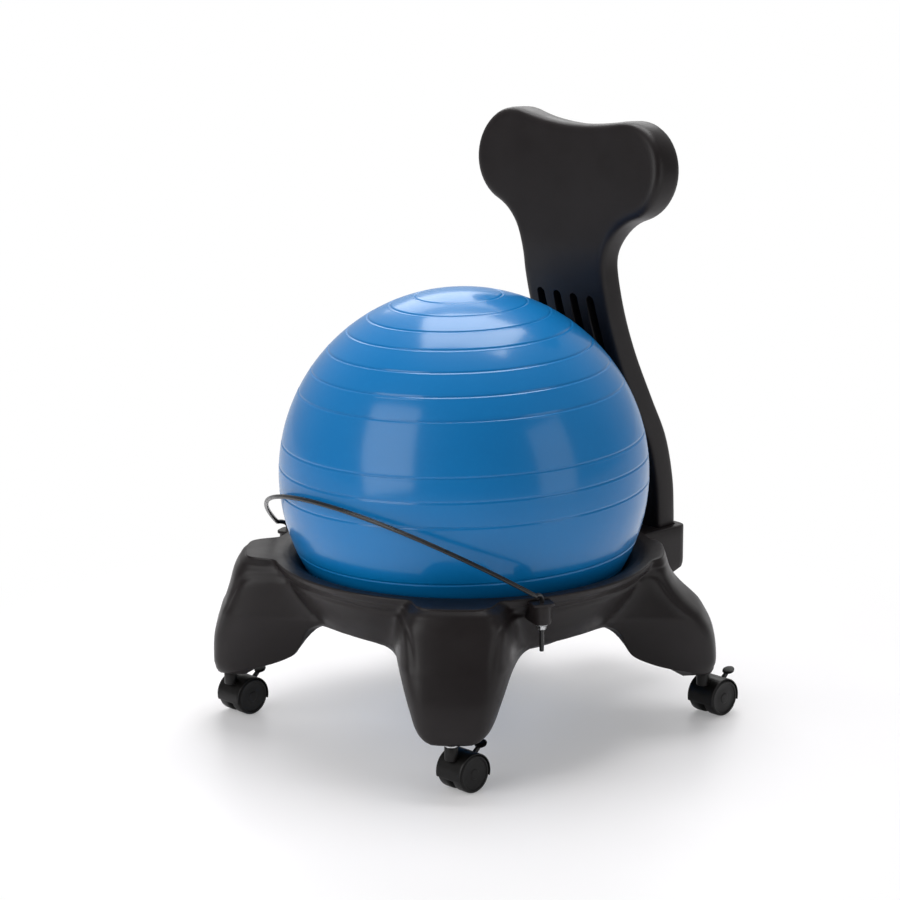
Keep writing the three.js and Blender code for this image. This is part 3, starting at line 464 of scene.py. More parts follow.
def leg_skin(turn, height, rear):
    """Distance from the axis to the plain outer skin."""
    share = (height - FOOT_HEIGHT) / (RIM_HEIGHT - FOOT_HEIGHT)
    ring = sqrt(max((BALL_RADIUS + RING_DEPTH) ** 2 - (BALL_HEIGHT - height) ** 2, 0))
    longest = LEG_REACH - SKIN_MARGIN
    reach = lerp(RING_TOP, longest, along(REAR_REACH if rear else FRONT_REACH, share))
    half = LEG_HALF_WIDTH * along(FLANKS, share)
    narrow = sin(turn) * reach / half
    leg = reach / (1 + narrow ** LEG_SQUARENESS) ** (1 / LEG_SQUARENESS)
    blend = lerp(*BLEND, min(max((share - BLEND_START) / BLEND_RUN, 0.0), 1.0))
    return (leg ** blend + ring ** blend) ** (1 / blend)


def groove_share(degrees, below, rear, radius):
    """How deep the moulded groove is at a place on the skin, from 0 to 1."""
    line = REAR_GROOVE if rear else FRONT_GROOVE
    per_degree = radians(1) * radius
    least = inf
    nearest = 0
    for k in range(len(line) - 1):
        (d0, b0), (d1, b1) = line[k], line[k + 1]
        run_x = (d1 - d0) * per_degree
        run_y = b1 - b0
        at_x = (degrees - d0) * per_degree
        at_y = below - b0
        t = (at_x * run_x + at_y * run_y) / (run_x ** 2 + run_y ** 2)
        t = min(max(t, 0.0), 1.0)
        far = hypot(at_x - run_x * t, at_y - run_y * t)
        if far < least:
            least = far
            nearest = k + t
    fade = 1 - step_between(nearest, 6.0, len(line) - 1.0)
    return fade * exp(-(least / GROOVE_HALF) ** 2)


def skin_detail(degrees, below, rear, radius):
    """What the lip, the groove and the step above the foot add to the skin's distance."""
    lip = LIP_PROUD * (1 - step_between(below, 8.5, 13))
    lip *= lerp(0.4, 1, step_between(degrees, 7, 12))
    groove = GROOVE_DEPTH * groove_share(degrees, below, rear, radius)
    height = RIM_HEIGHT - below
    foot = FOOT_STEP * (1 - step_between(height, FOOT_HEIGHT + 14, FOOT_HEIGHT + 17))
    return lip - groove - foot


def bowl_height(radius):
    return BALL_HEIGHT - sqrt(BOWL_RADIUS ** 2 - radius ** 2)


TOP_LEVELS = [2.6, 4.0, 5.5, 7, 8.5, 9.7, 10.9, 12.1, 13.5, 15, 16.5, 18, 19.5, 21, 22.5, 24.2,
              26, 28, 30]
BOWL_STEPS = 10
RIM_STEPS = 12
WALL_STEPS = 30
UNDER_STEPS = 18
BOWL_START = HOLE_RADIUS + 3
RIM_FLAT = 246
RIM_ROUND = 2.5
EDGE_ROUND = 2.6


def base_section(degrees, rear):
    """One upright section of the base as (radius, height) pairs, all round it."""
    turn = radians(degrees)
    edge = lerp(FOOT_HEIGHT, ARCH_HEIGHT, max(along(EDGE_HEIGHTS, degrees), 0))
    points = []
    for k in range(BOWL_STEPS + 1):
        radius = lerp(BOWL_START, BOWL_EDGE, k / BOWL_STEPS)
        points.append((radius, bowl_height(radius)))
    top_skin = leg_skin(turn, RIM_HEIGHT, rear)
    rim = [(BOWL_EDGE, bowl_height(BOWL_EDGE)), (228, RIM_HEIGHT - 8), (238, RIM_HEIGHT - 2),
           (RIM_FLAT, RIM_HEIGHT)]
    points += [between(rim, k / RIM_STEPS * 3) for k in range(1, RIM_STEPS + 1)]
    for share in (0.25, 0.5, 0.72, 0.86):
        points.append((lerp(RIM_FLAT, top_skin - 1, share), RIM_HEIGHT))

    def skin(height):
        radius = leg_skin(turn, height, rear)
        return radius + skin_detail(degrees, RIM_HEIGHT - height, rear, radius)

    first = (skin(RIM_HEIGHT - TOP_LEVELS[0]), RIM_HEIGHT - TOP_LEVELS[0])
    corner = (first[0] - 0.2, RIM_HEIGHT)
    flat = corner[0] - points[-1][0]
    points += round_corner(points[-1], corner, first, min(RIM_ROUND, flat * 0.8), 3)
    for below in TOP_LEVELS[1:]:
        points.append((skin(RIM_HEIGHT - below), RIM_HEIGHT - below))
    for k in range(1, WALL_STEPS + 1):
        height = lerp(RIM_HEIGHT - TOP_LEVELS[-1], edge + 3.0, k / WALL_STEPS)
        points.append((skin(height), height))
    start = along(EDGE_PLACES, degrees)
    under = []
    for k in range(1, UNDER_STEPS + 1):
        out, up = between(UNDERSIDE, lerp(start, len(UNDERSIDE) - 1, k / UNDER_STEPS))
        under.append((lerp(HOLE_RADIUS, LEG_REACH, out), lerp(FOOT_HEIGHT, ARCH_HEIGHT, up)))
    bottom = (skin(edge + 0.5), edge)
    inward = hypot(under[0][0] - bottom[0], under[0][1] - bottom[1])
    points += round_corner(points[-1], bottom, under[0], min(EDGE_ROUND, inward * 0.6), 4)
    points += under
    points.append((HOLE_RADIUS, lerp(under[-1][1], bowl_height(BOWL_START), 0.5)))
    return points


def base_skin():
    rows = []
    for number, (_, middle, rear) in enumerate(LEGS):
        for side in (-1, 1):
            arch = radians(45) * (number * 2 + 1 + side)
            degrees = COLUMNS if side > 0 else [45.0] + list(reversed(COLUMNS[1:]))
            for value in degrees:
                angle = lerp(middle, arch, value / 45)
                section = base_section(value, rear)
                rows.append([(r * cos(angle), r * sin(angle), z) for r, z in section])
    return loft(rows, round_rows=True)


# Rear socket.
SOCKET_FRONT = 232.0
SOCKET_TOP = 223.0
SOCKET_BOTTOM = 150.0
SOCKET_CORNER = 16.0
STEM_SEAT = 165.0
STEM_HALF = 77.5
STEM_THICK = 36.5
STEM_REAR = BALL_RADIUS + 54 + STEM_THICK
STEM_FRONT = STEM_REAR - STEM_THICK
SOCKET_HALF = STEM_HALF + 12
SOCKET_REAR = STEM_REAR + 10
BOLT_SPREAD = 42.0
BOLT_HEIGHT = 195.0


def round_box(half, front, rear, corner):
    corners = [(-half, front), (half, front), (half, rear), (-half, rear)]
    return rounded(corners, corner, 6)


def socket_solid():
    rows = []
    for height, inset, back in ((SOCKET_BOTTOM, 3, 36), (SOCKET_BOTTOM + 0.8, 1.2, 34),
                                (SOCKET_BOTTOM + 3, 0, 30), (STEM_SEAT - 3, 0, 3),
                                (STEM_SEAT + 2, 0, 0.6), (STEM_SEAT + 8, 0, 0),
                                (SOCKET_TOP - 18, 0, 0), (SOCKET_TOP - 2.4, 0, 0),
                                (SOCKET_TOP - 1, 0.5, 0.5), (SOCKET_TOP, 2.2, 2.2)):
        outline = round_box(SOCKET_HALF - inset, SOCKET_FRONT, SOCKET_REAR - back,
                            SOCKET_CORNER - inset)
        rows.append([(x, y, height) for x, y in outline])
    return loft(rows)


def stem_mouth():
    outline = round_box(STEM_HALF + GAP, STEM_FRONT - GAP, STEM_REAR + GAP, 6)
    return prism(outline, [(STEM_SEAT - GAP, 0), (SOCKET_TOP - 2.5, 0), (SOCKET_TOP - 0.6, -0.4),
                           (SOCKET_TOP + 0.4, -1.8), (SOCKET_TOP + 6, -1.8)])


# Lugs that carry the hoop's ends.
LUG_REACH = RING_TOP + 10
LUG_TURN = radians(21.8)
LUG_X = LUG_REACH * cos(LUG_TURN)
LUG_Y = -LUG_REACH * sin(LUG_TURN)
LUG_TOP = 230.0
LUG_BOTTOM = 204.0
LUG_RADIUS = 12.0
ROD_RADIUS = 3.0


def lug_solids(side):
    """Body and cap plate of a lug, worked out along its own radius and turned into place."""
    turn = atan2(LUG_Y, side * LUG_X)
    narrow = LUG_RADIUS * 0.45
    body = [(-34, -LUG_RADIUS), (4, -LUG_RADIUS), (LUG_RADIUS, -narrow), (LUG_RADIUS, narrow),
            (4, LUG_RADIUS), (-34, LUG_RADIUS)]
    cap = [(-30, -15), (9, -15), (13.2, -8), (13.2, 8), (9, 15), (-30, 15)]
    lower = [(0, 1.6), (0.6, 0.5), (2, 0), (LUG_TOP - LUG_BOTTOM, 0)]
    upper = [(-1.4, 0.6), (-0.9, 0), (1.6, 0), (2.4, 0.9)]
    solids = []
    for outline, corner, levels, low in ((body, 4, lower, LUG_BOTTOM), (cap, 3, upper, LUG_TOP)):
        outline = rounded([(LUG_REACH + x, y) for x, y in outline], corner)
        solids.append(swung(prism(outline, levels, low), turn))
    return solids


SLEEVE_INNER = 5.8
SLEEVE_OUTER = 7.6
PIN_LENGTH = 34.0


def stem_place(leg):
    _, middle, rear = leg
    reach = REAR_STEM_REACH if rear else FRONT_STEM_REACH
    return np.array([reach * cos(middle), reach * sin(middle), 0])


def base_piece():
    cuts = [stem_mouth()]
    for leg in LEGS:
        cuts.append(cylinder(SLEEVE_OUTER + GAP, FOOT_HEIGHT - 3, FOOT_HEIGHT + PIN_LENGTH + 2,
                             place=stem_place(leg)))
    solids = [base_skin(), socket_solid()]
    for side in (-1, 1):
        solids += lug_solids(side)
        cuts.append(cylinder(ROD_RADIUS + GAP, LUG_BOTTOM - 4, LUG_TOP + 9, 24,
                             place=(side * LUG_X, LUG_Y, 0)))
        cuts.append(cylinder(4.3, STEM_REAR - 6, SOCKET_REAR + 3, 24, "y",
                             (side * BOLT_SPREAD, 0, BOLT_HEIGHT)))
    dress(joined("base_shell", solids, cuts), "chair", "black_shell", ["base_frame"], 30)


# Ball: rings of fine grooves about an axis that leans a little, and a valve hole underneath.
BALL_AXIS = np.array([-0.0149, -0.0279, 1.0])
BALL_AXIS /= norm(BALL_AXIS)
RING_LATITUDES = [76.4, 68.44, 60.67, 53.07, 44.85, 36.71, 29.04, 12.35, 5.11, -2.56, -21.5,
                  -29.4, -37.2, -45.1, -53.0]
RING_DROP = 0.85
RING_HALF = 0.32
RING_PROUD = 0.14
VALVE_RADIUS = 5.3
VALVE_STEPS = 12
# A little inside the ball's radius, so that the proud edges stay within it.
BALL_OUTER = BALL_RADIUS - 0.35


def ring_relief(latitude):
    """Groove with a slight proud edge below it, in millimetres."""
    drop = 0.0
    for ring in RING_LATITUDES:
        off = (latitude - ring) / RING_HALF
        if abs(off) < 4:
            drop += -RING_DROP * exp(-off ** 2)
            drop += RING_PROUD * exp(-((off + 1.9) / 0.9) ** 2)
    return drop


def ball_solid():
    latitudes = [89.2, 88, 86, 84]
    marks = set(np.arange(-62, 84, 2.0).round(2))
    for ring in RING_LATITUDES:
        marks.update(np.round(ring + np.arange(-1.3, 1.01, 0.13), 2))
    latitudes += sorted(marks, reverse=True)
    kept = [latitudes[0]]
    for value in latitudes[1:]:
        if kept[-1] - value > 0.1:
            kept.append(value)
    turns = circle(180)
    across = np.cross([0, 1, 0], BALL_AXIS)
    across /= norm(across)
    other = np.cross(BALL_AXIS, across)
    centre = np.array([0, 0, BALL_HEIGHT])
    rows = []
    for latitude in kept:
        radius = BALL_OUTER + ring_relief(latitude)
        level = radians(latitude)
        ring = radius * cos(level)
        rows.append([centre + BALL_AXIS * radius * sin(level)
                     + ring * (across * cos(t) + other * sin(t)) for t in turns])
    start = [(p - centre) / norm(p - centre) for p in rows[-1]]
    polar = asin(VALVE_RADIUS / BALL_OUTER)
    goal = [np.array([sin(polar) * cos(t), sin(polar) * sin(t), -cos(polar)]) for t in turns]
    for k in range(1, VALVE_STEPS + 1):
        share = k / VALVE_STEPS
        row = []
        for a, b in zip(start, goal):
            way = a * (1 - share) + b * share
            row.append(centre + way / norm(way) * BALL_OUTER)
        rows.append(row)
    inner = BALL_RADIUS - BALL_SKIN
    for polar_degrees in [1.3] + list(range(6, 176, 6)):
        polar = radians(polar_degrees)
        ring = inner * sin(polar)
        rows.append([centre + np.array([ring * cos(t), ring * sin(t),
                                        -inner * cos(polar)]) for t in turns])
    return loft(rows)


def ball_piece():
    dress(build("ball_skin", *ball_solid()), "chair", "ball_vinyl", ["ball"], 60)


def plug_piece():
    profile = raised([(0, -1.1), (3.4, -1.1), (4.2, -1.6), (7.4, -1.6), (8.7, -1.1), (9, -0.2),
                      (8.8, 0), (5, 0), (4.8, 6), (4.2, 13), (3.2, 14), (0, 14)],
                     BALL_HEIGHT - BALL_RADIUS - GAP)
    piece = build("valve_plug", *turned(profile, 40))
    dress(piece, "chair", "valve_plug", ["ball_valve_plug"], 40)


# Backrest: a leaning plate between two analytic outlines with rounded edges.
HEAD_THICK = 48.0
LOBE_RADIUS = 67.0
LOBE_SPREAD = 107.5
LOBE_HEIGHT = 740.0
NECK_RADIUS = 78.0
DIP_HEIGHT = LOBE_HEIGHT + LOBE_RADIUS - 12
BACK_TOP = LOBE_HEIGHT + LOBE_RADIUS
BACK_FORWARD = 122.0
STEM_MIDDLE = STEM_REAR - STEM_THICK / 2
BACK_LEAN = [(0.11, 0), (0.19, 0.03), (0.285, 0.155), (0.37, 0.38), (0.475, 0.655),
             (0.565, 0.84), (0.655, 0.965), (0.715, 1), (0.76, 0.985), (0.9, 0.905), (1, 0.83)]
SHOULDER = radians(48)
SLOT_WIDTH = 14.0
SLOT_PITCH = 31.5
SLOT_TOP = 567.0
SLOT_LENGTH = 100.0
SLOT_DEPTH = 15.0


def back_middle(height):
    share = (height - STEM_SEAT) / (BACK_TOP - STEM_SEAT)
    return STEM_MIDDLE - BACK_FORWARD * along(BACK_LEAN, share)


def arc(centre, radius, start, end):
    turns = np.linspace(start, end, 80)
    return np.column_stack([centre[0] + radius * np.cos(turns), centre[1] + radius * np.sin(turns)])


def by_length(path, shares):
    lengths = np.concatenate([[0], np.cumsum(norm(np.diff(path, axis=0), axis=1))])
    wanted = np.array(shares) * lengths[-1]
    return np.column_stack([np.interp(wanted, lengths, path[:, k]) for k in (0, 1)])


def back_outline(inset, side_shares, top_shares):
    """Points up one side and over the top of the outline, drawn in by an inset."""
    lobe = LOBE_RADIUS - inset
    neck = NECK_RADIUS + inset
    stem = STEM_HALF - inset
    neck_x = stem + neck
    neck_z = LOBE_HEIGHT - sqrt((lobe + neck) ** 2 - (neck_x - LOBE_SPREAD) ** 2)
    turn = atan2(neck_z - LOBE_HEIGHT, neck_x - LOBE_SPREAD)
    dip = DIP_HEIGHT - inset - LOBE_HEIGHT
    dip_radius = (LOBE_SPREAD ** 2 + dip ** 2 - lobe ** 2) / (2 * (lobe - dip))
    dip_turn = atan2(dip + dip_radius, -LOBE_SPREAD)
    side = np.concatenate([
        np.column_stack([np.full(60, stem), np.linspace(STEM_SEAT + inset, neck_z, 60)]),
        arc((neck_x, neck_z), neck, pi, pi + turn),
        arc((LOBE_SPREAD, LOBE_HEIGHT), lobe, turn, SHOULDER)])
    top = np.concatenate([
        arc((LOBE_SPREAD, LOBE_HEIGHT), lobe, SHOULDER, dip_turn),
        arc((0, LOBE_HEIGHT + dip + dip_radius), dip_radius, dip_turn - pi, -dip_turn),
        arc((-LOBE_SPREAD, LOBE_HEIGHT), lobe, pi - dip_turn, pi - SHOULDER)])
    return by_length(side, side_shares), by_length(top, top_shares)


BACK_ROWS = 84
BACK_COLUMNS = 36
EDGE_SHARES = [0, 0.012, 0.05, 0.11, 0.2, 0.31, 0.44, 0.6, 0.8, 1]
EDGE_SQUARENESS = 3.8
SLIM_ROUND = 15
WIDE_ROUND = 20


def back_grid(inset):
    """Grid of the backrest's outline plane, rows from foot to top and columns from side to side."""
    ups = np.linspace(0, 1, BACK_ROWS + 1)
    acrosses = np.linspace(-1, 1, BACK_COLUMNS + 1)
    side, top = back_outline(inset, ups, (1 - acrosses) / 2)
    foot, corner = side[0], side[-1]
    grid = np.zeros((BACK_ROWS + 1, BACK_COLUMNS + 1, 2))
    for i, up in enumerate(ups):
        share = up ** 6
        x = acrosses * side[i, 0] + share * (top[:, 0] - acrosses * corner[0])
        z = side[i, 1] + share * (top[:, 1] - corner[1])
        grid[i, :, 0] = x
        grid[i, :, 1] = np.maximum(z, foot[1])
    return grid


def head_share(height):
    return step_between(height, LOBE_HEIGHT - LOBE_RADIUS - NECK_RADIUS, LOBE_HEIGHT)


def back_round(share):
    """The grid drawn in by a share of the edge's round, which is wider in the head."""
    slim = back_grid(SLIM_ROUND * share)
    wide = back_grid(WIDE_ROUND * share)
    rise = np.vectorize(head_share)(slim[:, :, 1])[:, :, None]
    return slim * (1 - rise) + wide * rise


def back_point(x, z, swell):
    """A point of the skin: swell goes from -1 on the front face to 1 on the back face."""
    half = lerp(STEM_THICK, HEAD_THICK, head_share(z)) / 2
    lean = atan((back_middle(z + 7.5) - back_middle(z - 7.5)) / 15)
    out = half * swell
    return (x, back_middle(z) + out * cos(lean), z - out * sin(lean))


def back_solid():
    rim = [(i, BACK_COLUMNS) for i in range(BACK_ROWS)]
    rim += [(BACK_ROWS, j) for j in range(BACK_COLUMNS, 0, -1)]
    rim += [(i, 0) for i in range(BACK_ROWS, 0, -1)]
    rim += [(0, j) for j in range(0, BACK_COLUMNS)]
    grids = [back_round(share) for share in EDGE_SHARES]
    points = []
    faces = []
    loops = {}
    for side in (-1, 1):
        for k, share in enumerate(EDGE_SHARES):
            if k == 0 and side > 0:
                loops[side, 0] = loops[-1, 0]
                continue
            swell = (1 - (1 - share) ** EDGE_SQUARENESS) ** (1 / EDGE_SQUARENESS)
            loops[side, k] = len(points)
            for i, j in rim:
                x, z = grids[k][i, j]
                points.append(back_point(x, z, swell * side))
        for k in range(len(EDGE_SHARES) - 1):
            a, b = loops[side, k], loops[side, k + 1]
            for n in range(len(rim)):
                m = (n + 1) % len(rim)
                faces.append((a + n, a + m, b + m, b + n))
        index = {}
        for n, place in enumerate(rim):
            index[place] = loops[side, len(EDGE_SHARES) - 1] + n
        for i in range(BACK_ROWS + 1):
            for j in range(BACK_COLUMNS + 1):
                if (i, j) not in index:
                    x, z = grids[-1][i, j]
                    index[i, j] = len(points)
                    points.append(back_point(x, z, side))
        for i in range(BACK_ROWS):
            for j in range(BACK_COLUMNS):
                faces.append((index[i, j], index[i, j + 1], index[i + 1, j + 1], index[i + 1, j]))
    return points, faces


def slot_cut(number):
    """A blind upright slot with a round top, cut square to the leaning front face."""
    half = SLOT_WIDTH / 2
    outline = [(-half, -SLOT_LENGTH / 2), (half, -SLOT_LENGTH / 2)]
    turns = np.linspace(0, pi, 13)
    outline += [(half * cos(t), SLOT_LENGTH / 2 - half + half * sin(t)) for t in turns]
    middle = SLOT_TOP - SLOT_LENGTH / 2
    slope = atan2(back_middle(SLOT_TOP) - back_middle(SLOT_TOP - SLOT_LENGTH), SLOT_LENGTH)
    face = back_middle(middle) - STEM_THICK / 2
    x = (number - 1.5) * SLOT_PITCH
    rows = []
    for depth, grow in ((-30, 1.3), (-0.9, 1.3), (0.5, 0.35), (2, 0), (SLOT_DEPTH - 1.5, 0),
                        (SLOT_DEPTH, -1.4)):
        row = []
        for across, up in outline:
            wide = across * (half + grow) / half
            high = up * (SLOT_LENGTH / 2 + grow) / (SLOT_LENGTH / 2)
            y = face + depth * cos(slope) + high * sin(slope)
            z = middle + high * cos(slope) - depth * sin(slope)
            row.append((x + wide, y, z))
        rows.append(row)
    return loft(rows)


def back_piece():
    cuts = [slot_cut(number) for number in range(4)]
    for side in (-1, 1):
        cuts.append(cylinder(7.3, STEM_REAR - 20.3, STEM_REAR + 3, 24, "y",
                             (side * BOLT_SPREAD, 0, BOLT_HEIGHT)))
    piece = joined("backrest_shell", [back_solid()], cuts)
    dress(piece, "chair", "black_shell", ["backrest"], 30)


# Steel hoop: a round rod along an arc in a sloping plane, bent down through each lug.
HOOP_RADIUS = 299.8
HOOP_SET_BACK = 42.9
HOOP_END = radians(32)
HOOP_DROP = 0.7
HOOP_END_PLACE = HOOP_SET_BACK - HOOP_RADIUS * sin(HOOP_END)
HOOP_SIDE_HEIGHT = RIM_HEIGHT + ROD_RADIUS + 6.2 + HOOP_DROP * HOOP_END_PLACE
ROD_TAIL = 37.0
ROD_BEND = 12.0
HOOP_STEPS = 140
BEND_STEPS = 14


def hoop_route():
    arc_points = []
    for i in range(HOOP_STEPS + 1):
        turn = pi + HOOP_END + (pi - 2 * HOOP_END) * i / HOOP_STEPS
        y = HOOP_SET_BACK + HOOP_RADIUS * sin(turn)
        arc_points.append(np.array([HOOP_RADIUS * cos(turn), y, HOOP_SIDE_HEIGHT - HOOP_DROP * y]))

    def bend(side):
        top = np.array([side * LUG_X, LUG_Y, LUG_TOP + ROD_RADIUS])
        over = top + np.array([0, 0, ROD_BEND])
        first = arc_points[0] if side < 0 else arc_points[-1]
        tail = [np.array([side * LUG_X, LUG_Y, z]) for z in
                (LUG_BOTTOM - ROD_TAIL, LUG_BOTTOM - ROD_TAIL + 0.8, LUG_BOTTOM, LUG_TOP)]
        return tail + curve(top, over, first, [k / BEND_STEPS for k in range(BEND_STEPS)])

    return bend(-1) + arc_points + bend(1)[::-1]


def swept(route, radius, sides):
    """A round rod along a route, a little thinner at its very ends."""
    turns = circle(sides)
    across = np.array([1.0, 0, 0])
    rows = []
    last = len(route) - 1
    for i, point in enumerate(route):
        way = route[min(i + 1, last)] - route[max(i - 1, 0)]
        way /= norm(way)
        across = across - way * across.dot(way)
        across /= norm(across)
        other = np.cross(way, across)
        thick = radius - 0.7 if i in (0, last) else radius
        rows.append([point + thick * (across * cos(t) + other * sin(t)) for t in turns])
    return loft(rows)


def hoop_piece():
    piece = build("hoop", *swept(hoop_route(), ROD_RADIUS, 20))
    dress(piece, "chair", "black_rod", ["hoop_rod"], 50)


# Fasteners.
SIDES = ((1, "left"), (-1, "right"))


def hexagon(radius):
    turns = np.arange(6) * pi / 3
    return [(radius * cos(t), radius * sin(t)) for t in turns]


def hoop_fixings():
    for side, name in SIDES:
        place = (side * LUG_X, LUG_Y, 0)
        washer_top = LUG_BOTTOM - GAP
        profile = raised([(3.35, -1.4), (7.7, -1.4), (8, -1.1), (8, -0.3), (7.7, 0), (3.35, 0),
                          (3.35, -1.4)], washer_top)
        washer = build("washer_" + name, *turned(profile, 40, place=place))
        dress(washer, "chair", "zinc_steel", ["hoop_washer_" + name], 40)
        top = washer_top - 1.4 - GAP
        levels = [(-5.5, 1.0), (-5.0, 0.25), (-4.7, 0), (-0.8, 0), (-0.5, 0.25), (0, 1.0)]
        body = moved(prism(hexagon(6.4), levels, top), place)
        nut = joined("nut_" + name, [body], [cylinder(3.3, top - 9, top + 4, 24, place=place)])
        dress(nut, "chair", "zinc_steel", ["hoop_nut_" + name], 25)


def backrest_fixings():
    for side, name in SIDES:
        place = (side * BOLT_SPREAD, 0, BOLT_HEIGHT)
        rear = SOCKET_REAR + GAP
        profile = raised([(4.35, 0), (8.7, 0), (9, 0.3), (9, 1.3), (8.7, 1.6), (4.35, 1.6),
                          (4.35, 0)], rear)
        washer = build("bolt_washer_" + name, *turned(profile, 40, "y", place))
        dress(washer, "chair", "zinc_steel", ["backrest_washer_" + name], 40)
        low = rear + 1.6 + GAP
        head = raised([(0, -26), (3.2, -26), (4, -25), (4, 0), (6.7, 0), (7, 0.4), (7, 1.6),
                       (6.5, 2.9), (5.3, 4), (4.2, 4.4), (0, 4.4)], low)
        points, faces = prism(hexagon(2.9), [(1.4, 0), (4.1, 0), (4.6, -0.4), (8, -0.4)], low)
        key = (np.array(points)[:, [0, 2, 1]] + np.array(place, float), faces)
        bolt = joined("backrest_bolt_head_" + name, [turned(head, 40, "y", place)], [key])
        dress(bolt, "chair", "zinc_steel", ["backrest_bolt_" + name], 30)


# Casters, in a frame with the stem's axis at the origin and the wheels behind it.
TRAIL = 21.0
WHEEL_RADIUS = 25.0
WHEEL_WIDTH = 18.0
WEB = 8.0
HOOD_INNER = 25.8
HOOD_OUTER = 27.4
HOOD_HALF = 22.3
HOOD_SKIRT = 18.0
HOOD_START = asin((HOOD_SKIRT - WHEEL_RADIUS) / HOOD_OUTER)
COLLAR_LOW = 62.4
BOSS_TOP = COLLAR_LOW - GAP
SHANK = 4.95
PIVOT = (TRAIL + 12.0, WHEEL_RADIUS + 12.0)
PEDAL_REACH = 30.0
PEDAL_RISE = 53.0
PEDAL_TILT = 0.45
BORE_DEPTH = WHEEL_WIDTH * 0.7
AXLE_BORE = 3.3
PIN_BORE = 1.8


def hood_solid():
    """A shell over both wheels with rolled shoulders and a rounded lower lip."""
    turns = np.linspace(HOOD_START, pi - HOOD_START, 61)
    shoulder = [(-HOOD_HALF, 0.9), (-HOOD_HALF + 0.25, 0.3), (-HOOD_HALF + 0.9, 0)]
    outer = shoulder + [(x, 0) for x in np.linspace(-HOOD_HALF + 4, HOOD_HALF - 4, 9)]
    outer += [(-x, drop) for x, drop in reversed(shoulder)]
    loop = [(x, HOOD_OUTER - drop) for x, drop in outer]
    loop += [(x, HOOD_INNER) for x in np.linspace(HOOD_HALF, -HOOD_HALF, 11)]
    centre = (HOOD_OUTER + HOOD_INNER) / 2
    rows = []
    for k, t in enumerate(turns):
        thin = 0.55 if k in (0, len(turns) - 1) else 0.0
        row = []
        for x, radius in loop:
            radius = lerp(radius, centre, thin)
            row.append((x, TRAIL + radius * cos(t), WHEEL_RADIUS + radius * sin(t)))
        rows.append(row)
    return loft(rows)


def web_solid():
    """The plate between the wheels, from the hood down to the axle."""
    outline = []
    for radius, start, end, count in ((26.6, HOOD_START, pi - HOOD_START, 41),
                                      (13.75, pi * 1.1, pi * 1.9, 17)):
        for t in np.linspace(start, end, count):
            outline.append((TRAIL + radius * cos(t), WHEEL_RADIUS + radius * sin(t)))
    return loft([[(x, y, z) for y, z in outline] for x in (-WEB / 2, WEB / 2)])


def boss_solid():
    reach = SHANK + 4
    low = raised([(0, 0), (reach - 1.5, 0), (reach - 0.4, 0.5), (reach, 1.6)], BOSS_TOP - 18)
    high = raised([(reach, -1), (reach - 0.3, -0.3), (reach - 1, 0), (0, 0)], BOSS_TOP)
    return turned(low + high, 40)


def wheel_solid(side):
    inner = [(0, BORE_DEPTH), (AXLE_BORE, BORE_DEPTH), (AXLE_BORE, 0), (22.2, 0), (23.6, 0.4),
             (24.6, 1.3), (25, 2.6)]
    outer = raised([(25, -3.2), (24.7, -1.6), (23.9, -0.5), (22.6, 0), (21.6, 0), (21.0, -0.3),
                    (20.6, -1.3), (19.8, -1.7), (12, -1.15), (7.2, -0.95), (6.6, -0.35),
                    (5.6, -0.2), (0, -0.2)], WHEEL_WIDTH)
    points, faces = turned(inner + outer, 56, "x")
    points[:, 0] = side * (points[:, 0] + WEB / 2 + GAP)
    return points + np.array([0, TRAIL, WHEEL_RADIUS]), faces


def pedal_solids():
    pivot_y, pivot_z = PIVOT
    plate_y = TRAIL + PEDAL_REACH
    outline = [(-10, 1), (-7, -4), (0, -6.5), (7, -4), (10, 1), (6.5, 6.5), (0, 9), (-6.5, 6.5)]
    outline = [(x, y + plate_y) for x, y in rounded(outline, 2.2)]
    levels = [(-1.2, 1.2), (-0.8, 0.3), (-0.2, 0), (0.9, 0.2), (1.7, 1.3), (1.9, 2.6)]
    points, faces = prism(outline, levels, PEDAL_RISE)
    points = np.array(points)
    points[:, 2] += (points[:, 1] - plate_y) * PEDAL_TILT
    plate = (points, faces)
    rise = atan2(PEDAL_RISE - pivot_z, plate_y - pivot_y)
    turns = np.linspace(rise + pi / 2, rise + pi * 1.5, 13)
    outline = [(pivot_y + 3 * cos(t), pivot_z + 3 * sin(t)) for t in turns]
    outline.append((plate_y + 2.2 * sin(rise), PEDAL_RISE - 2.2 * cos(rise)))
    outline.append((plate_y - 3.4, PEDAL_RISE))
    rows = [[(x, pivot_y + (y - pivot_y) * s, pivot_z + (z - pivot_z) * s) for y, z in outline]
            for x, s in ((-2.2, 0.97), (-1.9, 1), (1.9, 1), (2.2, 0.97))]
    bore = cylinder(PIN_BORE, -10, 10, 20, "x", (0, pivot_y, pivot_z))
    return [plate, loft(rows)], [bore]


def stem_profile():
    return raised([(0, -14), (SHANK, -14), (SHANK, 0), (8.2, 0), (8.5, 0.3), (8.5, 2), (8.2, 2.4),
                   (5.5, 2.4)], COLLAR_LOW) \
        + raised([(5.5, -12), (4.6, -12), (4.6, -5.4), (5.5, -5.4), (5.5, -3), (4.9, -1.2),
                  (3.3, 0), (0, 0)], FOOT_HEIGHT + PIN_LENGTH)


def sleeve_profile():
    low = FOOT_HEIGHT - 1.9
    top = FOOT_HEIGHT + PIN_LENGTH + 0.9
    return raised([(SLEEVE_INNER, 0), (9.2, 0), (9.5, 0.3), (9.5, 1.3), (9.2, 1.6),
                   (SLEEVE_OUTER, 1.6)], low) \
        + [(SLEEVE_OUTER, top), (SLEEVE_INNER, top), (SLEEVE_INNER, low)]


